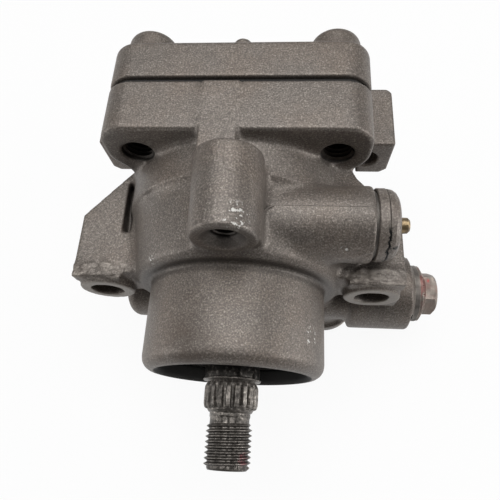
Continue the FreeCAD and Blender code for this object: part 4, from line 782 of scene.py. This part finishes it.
def round_valve_end(piece):
    """Cuts the squared valve end of the casting back and returns its round end."""
    for low, high, radius in VALVE_WASTE:
        waste = block(low, high)
        cut_away(waste, valve_rod(radius, *VALVE_CUT_SPAN))
        cut_away(piece, waste)
    end = valve_rod(VALVE_END_R, VALVE_START_X, VALVE_FACE_X)
    round_edges(end, VALVE_EDGE)
    cut_away(end, valve_rod(VALVE_BORE_R, *VALVE_CUT_SPAN))
    return end


def port_lip():
    """Ring round the mouth of the pressure port."""
    middle = (*PORT_PLACE, PORT_LIP_Z)
    lip = rod(PORT_LIP_R, middle, PORT_LIP_HEIGHT, PORT_LIP_SIDES)
    round_edges(lip, PORT_LIP_EDGE)
    cut_away(lip, rod(PORT_LIP_BORE_R, middle, PORT_LIP_CUT, PORT_LIP_SIDES))
    return lip


def housing_details(piece):
    """Forms that the casting's plain solid lacks: valve end, port lip, slot floors and gate marks."""
    added = [round_valve_end(piece), port_lip()]
    added += [block(*corners) for corners in SLOT_FLOORS + GATE_MARKS]
    return join([piece] + added, piece.name)


def fill_corners(piece, machined):
    """Fills inner corners with a soft curve, as a sand mould leaves them."""
    mesh = piece.data
    count = len(mesh.vertices)
    points = np.empty(count * 3, np.float32)
    mesh.vertices.foreach_get("co", points)
    points = points.reshape(-1, 3).astype(np.float64)
    ends = np.empty(len(mesh.edges) * 2, np.int32)
    mesh.edges.foreach_get("vertices", ends)
    one, other = ends.reshape(-1, 2).T
    shares = (np.bincount(one, minlength=count) + np.bincount(other, minlength=count))[:, None]
    free = ~machined(points)
    normals = np.empty(count * 3, np.float32)
    for turn in range(FILL_ROUNDS):
        if turn % ROUNDS_PER_NORMAL == 0:
            mesh.vertices.foreach_set("co", points.astype(np.float32).ravel())
            mesh.update()
            mesh.vertex_normals.foreach_get("vector", normals)
            outward = normals.reshape(-1, 3).astype(np.float64)
        pull = np.empty_like(points)
        for axis in range(3):
            pull[:, axis] = (np.bincount(one, points[other, axis], count)
                             + np.bincount(other, points[one, axis], count))
        pull = pull / shares - points
        hollow = ((pull * outward).sum(1) > LEAST_PULL) & free
        points += pull * (PULL_SHARE * hollow)[:, None]
    mesh.vertices.foreach_set("co", points.astype(np.float32).ravel())
    mesh.update()


def roughen_gates(piece):
    """Breaks up the gate marks on the lugs, where the metal was knocked off its feeders."""
    for vertex in piece.data.vertices:
        x, y, z = vertex.co / MM
        side = abs(x)
        if z > GATE_BOTTOM_Z and GATE_FRONT_Y < y < GATE_BACK_Y and GATE_INNER_X < side < GATE_OUTER_X:
            edge = min(1.0, (z - GATE_BOTTOM_Z) / 0.8, (y - GATE_FRONT_Y) / 0.6, (GATE_BACK_Y - y) / 0.6,
                       (side - GATE_INNER_X) / 0.8, (GATE_OUTER_X - side) / 0.5)
            broad = noise.fractal(Vector((x, y * 1.5, z)) * 0.45, 0.6, 2.0, 4)
            vertex.co.z += edge * 0.55 * broad * MM
            vertex.co.y += edge * 0.35 * noise.noise(Vector((x, y, z)) * 0.9) * MM


def rounded_casting(node, name, step, machined, details=None):
    """Copy of a casting whose corners are rounded as poured metal is."""
    piece = copy_of(node, name)
    if details:
        piece = details(piece)
    apply_modifier(piece, "REMESH", "pour", mode="VOXEL", voxel_size=step, adaptivity=0.0,
                   use_smooth_shade=True)
    fill_corners(piece, machined)
    if details:
        roughen_gates(piece)
    apply_modifier(piece, "SMOOTH", "soften", factor=0.5, iterations=2)
    apply_modifier(piece, "DECIMATE", "thin", decimate_type="COLLAPSE", ratio=TRIANGLES_KEPT)
    smooth(piece, CASTING_ANGLE)
    return piece


def wound_thread(name, root, crest, pitch, turns, inside=False):
    """Screw thread wound from one tooth's outline, along Z from the origin, in millimetres."""
    clear_selection()
    bpy.ops.mesh.primitive_circle_add(vertices=4, radius=root * MM, fill_type="NOTHING")
    piece = bpy.context.object
    piece.name = name
    piece.data.name = name
    foot = root + 0.2 if inside else root - 0.2
    foot_half, crest_half = 0.47 * pitch, 0.07 * pitch
    outline = [(foot, -foot_half), (crest, -crest_half), (crest, crest_half), (foot, foot_half)]
    for vertex, (r, z) in zip(piece.data.vertices, outline):
        vertex.co = (r * MM, 0.0, z * MM)
    apply_modifier(piece, "SCREW", "wind", angle=math.radians(360), screw_offset=pitch * MM, iterations=turns,
                   steps=STEPS_PER_TURN, render_steps=STEPS_PER_TURN, axis="Z", use_normal_calculate=True,
                   use_merge_vertices=False)
    bpy.ops.object.mode_set(mode="EDIT")
    bpy.ops.mesh.select_mode(type="EDGE")
    bpy.ops.mesh.select_all(action="DESELECT")
    bpy.ops.mesh.select_non_manifold()
    bpy.ops.mesh.fill()
    bpy.ops.mesh.select_all(action="SELECT")
    bpy.ops.mesh.normals_make_consistent(inside=False)
    bpy.ops.object.mode_set(mode="OBJECT")
    return piece


def turn_to_y(piece, x, y, z):
    """Lays a piece made along Z down along Y and puts it in its place, in millimetres."""
    turned = Matrix.Rotation(math.radians(-90), 4, "X")
    piece.matrix_world = Matrix.Translation((x * MM, y * MM, z * MM)) @ turned
    place_at_origin(piece)


def hole_thread(place, root, crest, pitch, turns, start):
    """Thread on the wall of a tapped hole along Y, in millimetres."""
    coil = wound_thread("coil", root, crest, pitch, turns, inside=True)
    turn_to_y(coil, place[0], start, place[1])
    return coil


def join(pieces, name):
    """Makes one piece of several, under the name given."""
    clear_selection()
    for piece in pieces:
        piece.select_set(True)
    bpy.context.view_layer.objects.active = pieces[0]
    bpy.ops.object.join()
    pieces[0].name = name
    pieces[0].data.name = name
    return pieces[0]


def pull_in(vertex, radius):
    """Brings a point of the shaft to within a radius of its axis, in millimetres."""
    reach = math.hypot(vertex.co.x, vertex.co.z)
    if reach > radius * MM:
        vertex.co.x *= radius * MM / reach
        vertex.co.z *= radius * MM / reach


def casting_look(context):
    """Colours and grain that the cast surfaces share."""
    look = context.scene.pump_surface
    return tuple(look.casting_colour), tuple(look.worn_colour), look.grain_size


# Pieces
class PUMP_OT_housing(bpy.types.Operator):
    """Front housing as a rounded casting"""
    bl_idname = "pump.housing"
    bl_label = "Front housing"

    def execute(self, context):
        step = context.scene.pump_surface.casting_step
        piece = rounded_casting("front_housing", "housing_casting", step, housing_machined, housing_details)
        wear(piece, housing_finish(*casting_look(context)))
        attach(piece, "housing")
        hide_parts("front_housing")
        return {"FINISHED"}


class PUMP_OT_cover(bpy.types.Operator):
    """Rear cover as a rounded casting"""
    bl_idname = "pump.cover"
    bl_label = "Rear cover"

    def execute(self, context):
        step = context.scene.pump_surface.casting_step
        piece = rounded_casting("rear_cover", "cover_casting", step, cover_machined)
        wear(piece, cover_finish(*casting_look(context)))
        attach(piece, "housing")
        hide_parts("rear_cover")
        return {"FINISHED"}


class PUMP_OT_shaft(bpy.types.Operator):
    """Drive shaft with its splines and a wound thread at the end"""
    bl_idname = "pump.shaft"
    bl_label = "Drive shaft"

    def execute(self, context):
        look = context.scene.pump_surface
        piece = copy_of("drive_shaft", "threaded_shaft")
        thread_end = SHAFT_TIP_Y + THREAD_LENGTH
        self.lengthen_neck(piece, thread_end)
        self.round_splines(piece)
        thread = self.shaft_thread(thread_end)
        piece = join([piece, thread], "threaded_shaft")
        smooth(piece, MACHINED_ANGLE)
        wear(piece, shaft_finish(tuple(look.shaft_colour)))
        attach(piece, "shaft")
        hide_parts("drive_shaft")
        return {"FINISHED"}

    def lengthen_neck(self, piece, thread_end):
        """Moves the neck up, cuts the thread's stretch to its root and deepens the splines."""
        for vertex in piece.data.vertices:
            x, y, z = vertex.co / MM
            if NECK_SPAN[0] < y < NECK_SPAN[1]:
                vertex.co.y += NECK_SHIFT * MM
            if vertex.co.y < (thread_end - 0.05) * MM:
                pull_in(vertex, THREAD_ROOT)
            elif y < SPLINE_END_Y and math.hypot(x, z) < SPLINE_FLANK_R:
                pull_in(vertex, SPLINE_GROOVE_R)

    def round_splines(self, piece):
        """Gives both ends of the splines their rounded outline."""
        bpy.ops.object.mode_set(mode="EDIT")
        for place, _ in SPLINE_OUTLINE[1:-1]:
            bpy.ops.mesh.select_all(action="SELECT")
            bpy.ops.mesh.bisect(plane_co=(0, place * MM, 0), plane_no=(0, 1, 0))
        bpy.ops.object.mode_set(mode="OBJECT")
        places, radii = zip(*SPLINE_OUTLINE)
        for vertex in piece.data.vertices:
            if places[0] * MM < vertex.co.y < (places[-1] + 0.01) * MM:
                pull_in(vertex, float(np.interp(vertex.co.y / MM, places, radii)))

    def shaft_thread(self, thread_end):
        """Thread of the shaft's end, chamfered at the tip and running out at the neck."""
        turns = int((THREAD_LENGTH - 2.0) / THREAD_PITCH)
        thread = wound_thread("shaft_thread", THREAD_ROOT, THREAD_OUTER, THREAD_PITCH, turns)
        turn_to_y(thread, 0.0, SHAFT_TIP_Y + THREAD_PITCH / 2, 0.0)
        for vertex in thread.data.vertices:
            y = vertex.co.y / MM
            at_tip = THREAD_OUTER - THREAD_CHAMFER + (y - SHAFT_TIP_Y) * 0.9
            at_neck = THREAD_OUTER + (thread_end - THREAD_RUN_OUT - y) * 0.5
            pull_in(vertex, min(THREAD_OUTER, at_tip, at_neck))
        return thread


class PUMP_OT_threads(bpy.types.Operator):
    """Threads inside the tapped holes of the housing"""
    bl_idname = "pump.threads"
    bl_label = "Threads in the tapped holes"

    def execute(self, context):
        look = context.scene.pump_surface
        coils = [hole_thread(place, *FLANGE_THREAD) for place in SCREW_PLACES]
        coils.append(hole_thread(BOSS_PLACE, *BOSS_THREAD))
        piece = join(coils, "tapped_hole_threads")
        smooth(piece, MACHINED_ANGLE)
        base = tuple(look.casting_colour)
        wear(piece, steel_finish("cut_thread", shade(base, 0.42), 0.45, 3.0).material)
        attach(piece, "housing")
        return {"FINISHED"}


def raised_seam(name, points, radius):
    """Thin raised line through the points, in millimetres, as a mould's joint leaves it."""
    curve = bpy.data.curves.new(name, "CURVE")
    curve.dimensions = "3D"
    curve.bevel_depth = radius * MM
    curve.bevel_resolution = 2
    spline = curve.splines.new("NURBS")
    spline.points.add(len(points) - 1)
    for point, place in zip(spline.points, points):
        point.co = (*[step * MM for step in place], 1.0)
    spline.order_u = 3
    spline.use_endpoint_u = True
    curve.use_fill_caps = True
    piece = bpy.data.objects.new(name, curve)
    bpy.context.scene.collection.objects.link(piece)
    all_selected(piece)
    bpy.ops.object.convert(target="MESH")
    return bpy.context.object


class PUMP_OT_seams(bpy.types.Operator):
    """Raised lines where the mould's halves met"""
    bl_idname = "pump.seams"
    bl_label = "Mould seams"

    def execute(self, context):
        boss = raised_seam("boss_seam", BOSS_SEAM, BOSS_SEAM_R)
        switch = raised_seam("switch_seam", SWITCH_SEAM, SWITCH_SEAM_R)
        piece = join([boss, switch], "mould_seams")
        wear(piece, cover_finish(*casting_look(context)))
        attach(piece, "housing")
        return {"FINISHED"}


class PUMP_OT_bearing(bpy.types.Operator):
    """Bearing, its rings and its seals in the mouth of the nose"""
    bl_idname = "pump.bearing"
    bl_label = "Bearing and rings"

    def execute(self, context):
        look = context.scene.pump_surface
        base = tuple(look.shaft_colour)
        # Bearing steels darkened as painted shade for the parts deep in the nose's mouth
        dark = steel_finish("oily_ring_steel", shade(base, 0.22), 0.36, 4.0, dark=0.3).material
        ground = steel_finish("ground_bearing_steel", shade(base, 0.5), 0.28, 6.0, dark=0.4).material
        dress(["bearing_snap_ring"], dark)
        dress(["bearing_outer_race", "bearing_inner_race", "bearing_balls", "bearing_cage", "shaft_snap_ring",
               "rotor_snap_ring"], ground)
        dress(["bearing_seals", "shaft_seal", "side_plate_o_ring", "shaft_o_ring"], rubber_finish())
        return {"FINISHED"}


class PUMP_OT_cartridge(bpy.types.Operator):
    """Pump cartridge, valve and bushes inside the housing"""
    bl_idname = "pump.cartridge"
    bl_label = "Inner parts"

    def execute(self, context):
        ground = steel_finish("ground_cartridge_steel", (0.34, 0.33, 0.32), 0.26, 5.0, dark=0.6).material
        bronze = steel_finish("bush_bronze", (0.42, 0.25, 0.12), 0.38, 4.0, dark=0.5).material
        vanes = ["vane_%02d" % (i + 1) for i in range(10)]
        dress(["cam_ring", "front_side_plate", "rear_side_plate", "dowel_pins", "rotor", "flow_spool",
               "relief_seat", "relief_ball", "relief_holder", "switch_piston", "seal_case"] + vanes, ground)
        dress(["front_bush", "rear_bush"], bronze)
        return {"FINISHED"}


class PUMP_OT_springs(bpy.types.Operator):
    """Springs, of which three get a wire copy of their own on the body that carries them"""
    bl_idname = "pump.springs"
    bl_label = "Springs"

    def execute(self, context):
        wire = steel_finish("spring_wire", (0.22, 0.21, 0.20), 0.32, 3.0, dark=0.5).material
        dress(["side_plate_spring", "garter_spring"], wire)
        for node, body, joint, travel, fixed_end in SPRINGS:
            piece = copy_of(node, node + "_wire")
            wear(piece, wire)
            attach(piece, body)
            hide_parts(node)
            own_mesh(piece)
        return {"FINISHED"}


class PUMP_OT_fittings(bpy.types.Operator):
    """Valve plug, pressure switch, cover screws, washers and gasket"""
    bl_idname = "pump.fittings"
    bl_label = "Plug, switch, screws and gasket"

    def execute(self, context):
        look = context.scene.pump_surface
        base = tuple(look.shaft_colour)
        dress(["valve_plug"], plug_finish(base, tuple(look.paint_colour)))
        washer = steel_finish("dull_washer", base, 0.5, 3.0, along=0)
        # Painted shade in the washers' grooves and gaps
        washer.colour(washer.mix(washer.hollow_shade(0.0014, 0.9), washer.tone_so_far(), shade(base, 0.08)))
        dress(["valve_plug_washer", "switch_washer"], washer.material)
        dress(["switch_body"], switch_finish(*casting_look(context)))
        dress(["switch_insulator"], plastic_finish())
        dress(["switch_terminal"], brass_finish())
        dress(["cover_bolts"], steel_finish("blackened_screws", shade(base, 0.55), 0.42, 3.0).material)
        dress(["cover_gasket"], gasket_finish())
        return {"FINISHED"}


def soft_lamp(name, place, size, power):
    """Square lamp that points at the pump."""
    lamp = bpy.data.lights.new(name, "AREA")
    lamp.shape = "RECTANGLE"
    lamp.size, lamp.size_y = size
    lamp.energy = power
    obj = bpy.data.objects.new(name, lamp)
    bpy.context.scene.collection.objects.link(obj)
    obj.location = place
    obj.rotation_euler = (Vector(LAMP_TARGET) - Vector(place)).to_track_quat("-Z", "Y").to_euler()


def paper_finish():
    """Grey paper that the camera and the metal see as nearly white, so that it keeps the shadow."""
    paper = bpy.data.materials.new("pale_floor")
    paper.use_nodes = True
    nodes, links = paper.node_tree.nodes, paper.node_tree.links
    shader = nodes["Principled BSDF"]
    shader.inputs["Base Color"].default_value = (FLOOR_GREY, FLOOR_GREY, FLOOR_GREY, 1)
    shader.inputs["Roughness"].default_value = 0.9
    glow = nodes.new("ShaderNodeEmission")
    glow.inputs["Color"].default_value = (1, 1, 1, 1)
    rays = nodes.new("ShaderNodeLightPath")
    seen = nodes.new("ShaderNodeMath")
    seen.operation = "MAXIMUM"
    links.new(rays.outputs["Is Camera Ray"], seen.inputs[0])
    links.new(rays.outputs["Is Glossy Ray"], seen.inputs[1])
    share = nodes.new("ShaderNodeMath")
    share.operation = "MULTIPLY"
    share.inputs[1].default_value = FLOOR_GLOW
    links.new(seen.outputs[0], share.inputs[0])
    both = nodes.new("ShaderNodeMixShader")
    links.new(share.outputs[0], both.inputs[0])
    links.new(shader.outputs[0], both.inputs[1])
    links.new(glow.outputs[0], both.inputs[2])
    links.new(both.outputs[0], nodes["Material Output"].inputs["Surface"])
    return paper


def room_world(room_light):
    """White to the camera, dim in front of the pump and brighter behind it."""
    room = bpy.data.worlds.new("room")
    room.use_nodes = True
    nodes, links = room.node_tree.nodes, room.node_tree.links
    back = nodes["Background"]
    back.inputs["Color"].default_value = (1, 1, 1, 1)
    rays = nodes.new("ShaderNodeLightPath")
    strength = nodes.new("ShaderNodeMapRange")
    heading = nodes.new("ShaderNodeSeparateXYZ")
    links.new(nodes.new("ShaderNodeTexCoord").outputs["Generated"], heading.inputs[0])
    behind = nodes.new("ShaderNodeMapRange")
    behind.inputs["From Min"].default_value = -0.6
    behind.inputs["From Max"].default_value = 0.6
    behind.inputs["To Min"].default_value = room_light * FRONT_LIGHT_SHARE
    behind.inputs["To Max"].default_value = room_light
    links.new(heading.outputs["Y"], behind.inputs["Value"])
    links.new(behind.outputs["Result"], strength.inputs["To Min"])
    strength.inputs["To Max"].default_value = 1.0
    links.new(rays.outputs["Is Camera Ray"], strength.inputs["Value"])
    links.new(strength.outputs["Result"], back.inputs["Strength"])
    return room


def photo_camera():
    """Camera that stands and looks as the photo's did."""
    view = bpy.data.cameras.new("camera")
    view.sensor_width = CAMERA_SENSOR
    view.lens = CAMERA_LENS
    view.clip_start = 0.005
    view.clip_end = 50.0
    camera = bpy.data.objects.new("camera", view)
    bpy.context.scene.collection.objects.link(camera)
    turned = Matrix((CAMERA_RIGHT, CAMERA_UP, CAMERA_BACK)).transposed().to_4x4()
    camera.matrix_world = Matrix.Translation(CAMERA_PLACE) @ turned
    return camera


class PUMP_OT_stage(bpy.types.Operator):
    """Pale floor, soft lamps and the camera"""
    bl_idname = "pump.stage"
    bl_label = "Stage"

    def execute(self, context):
        stage = context.scene.pump_stage
        clear_selection()
        low = cad_box[0]
        bpy.ops.mesh.primitive_plane_add(size=stage.floor_size, location=(0, 0, low[2] - FLOOR_GAP))
        floor = bpy.context.object
        floor.name = "floor"
        place_at_origin(floor)
        wear(floor, paper_finish())
        context.scene.world = room_world(stage.room_light)
        for name, place, size, power in LAMPS:
            soft_lamp(name, place, size, getattr(stage, power))
        context.scene.camera = photo_camera()
        context.scene.view_settings.view_transform = "Standard"
        return {"FINISHED"}


class PUMP_PT_panel(bpy.types.Panel):
    """Steps that dress the pump"""
    bl_idname = "PUMP_PT_panel"
    bl_label = "Power steering pump"
    bl_space_type = "VIEW_3D"
    bl_region_type = "UI"
    bl_category = "Pump"

    def draw(self, context):
        layout = self.layout
        for group in (context.scene.pump_surface, context.scene.pump_stage):
            for name in group.__annotations__:
                layout.prop(group, name)
        for step in STEPS:
            layout.operator(step.bl_idname)


STEPS = (PUMP_OT_housing, PUMP_OT_cover, PUMP_OT_seams, PUMP_OT_shaft, PUMP_OT_threads, PUMP_OT_bearing,
         PUMP_OT_cartridge, PUMP_OT_springs, PUMP_OT_fittings, PUMP_OT_stage)
CLASSES = (PumpSurface, PumpStage) + STEPS + (PUMP_PT_panel,)


def register():
    for cls in CLASSES:
        bpy.utils.register_class(cls)
    bpy.types.Scene.pump_surface = PointerProperty(type=PumpSurface)
    bpy.types.Scene.pump_stage = PointerProperty(type=PumpStage)


def unregister():
    del bpy.types.Scene.pump_stage
    del bpy.types.Scene.pump_surface
    for cls in reversed(CLASSES):
        bpy.utils.unregister_class(cls)


def main():
    register()
    bpy.ops.pump.housing()
    bpy.ops.pump.cover()
    bpy.ops.pump.seams()
    bpy.ops.pump.shaft()
    bpy.ops.pump.threads()
    bpy.ops.pump.bearing()
    bpy.ops.pump.cartridge()
    bpy.ops.pump.springs()
    bpy.ops.pump.fittings()
    bpy.ops.pump.stage()


if __name__ == "__main__":
    main()
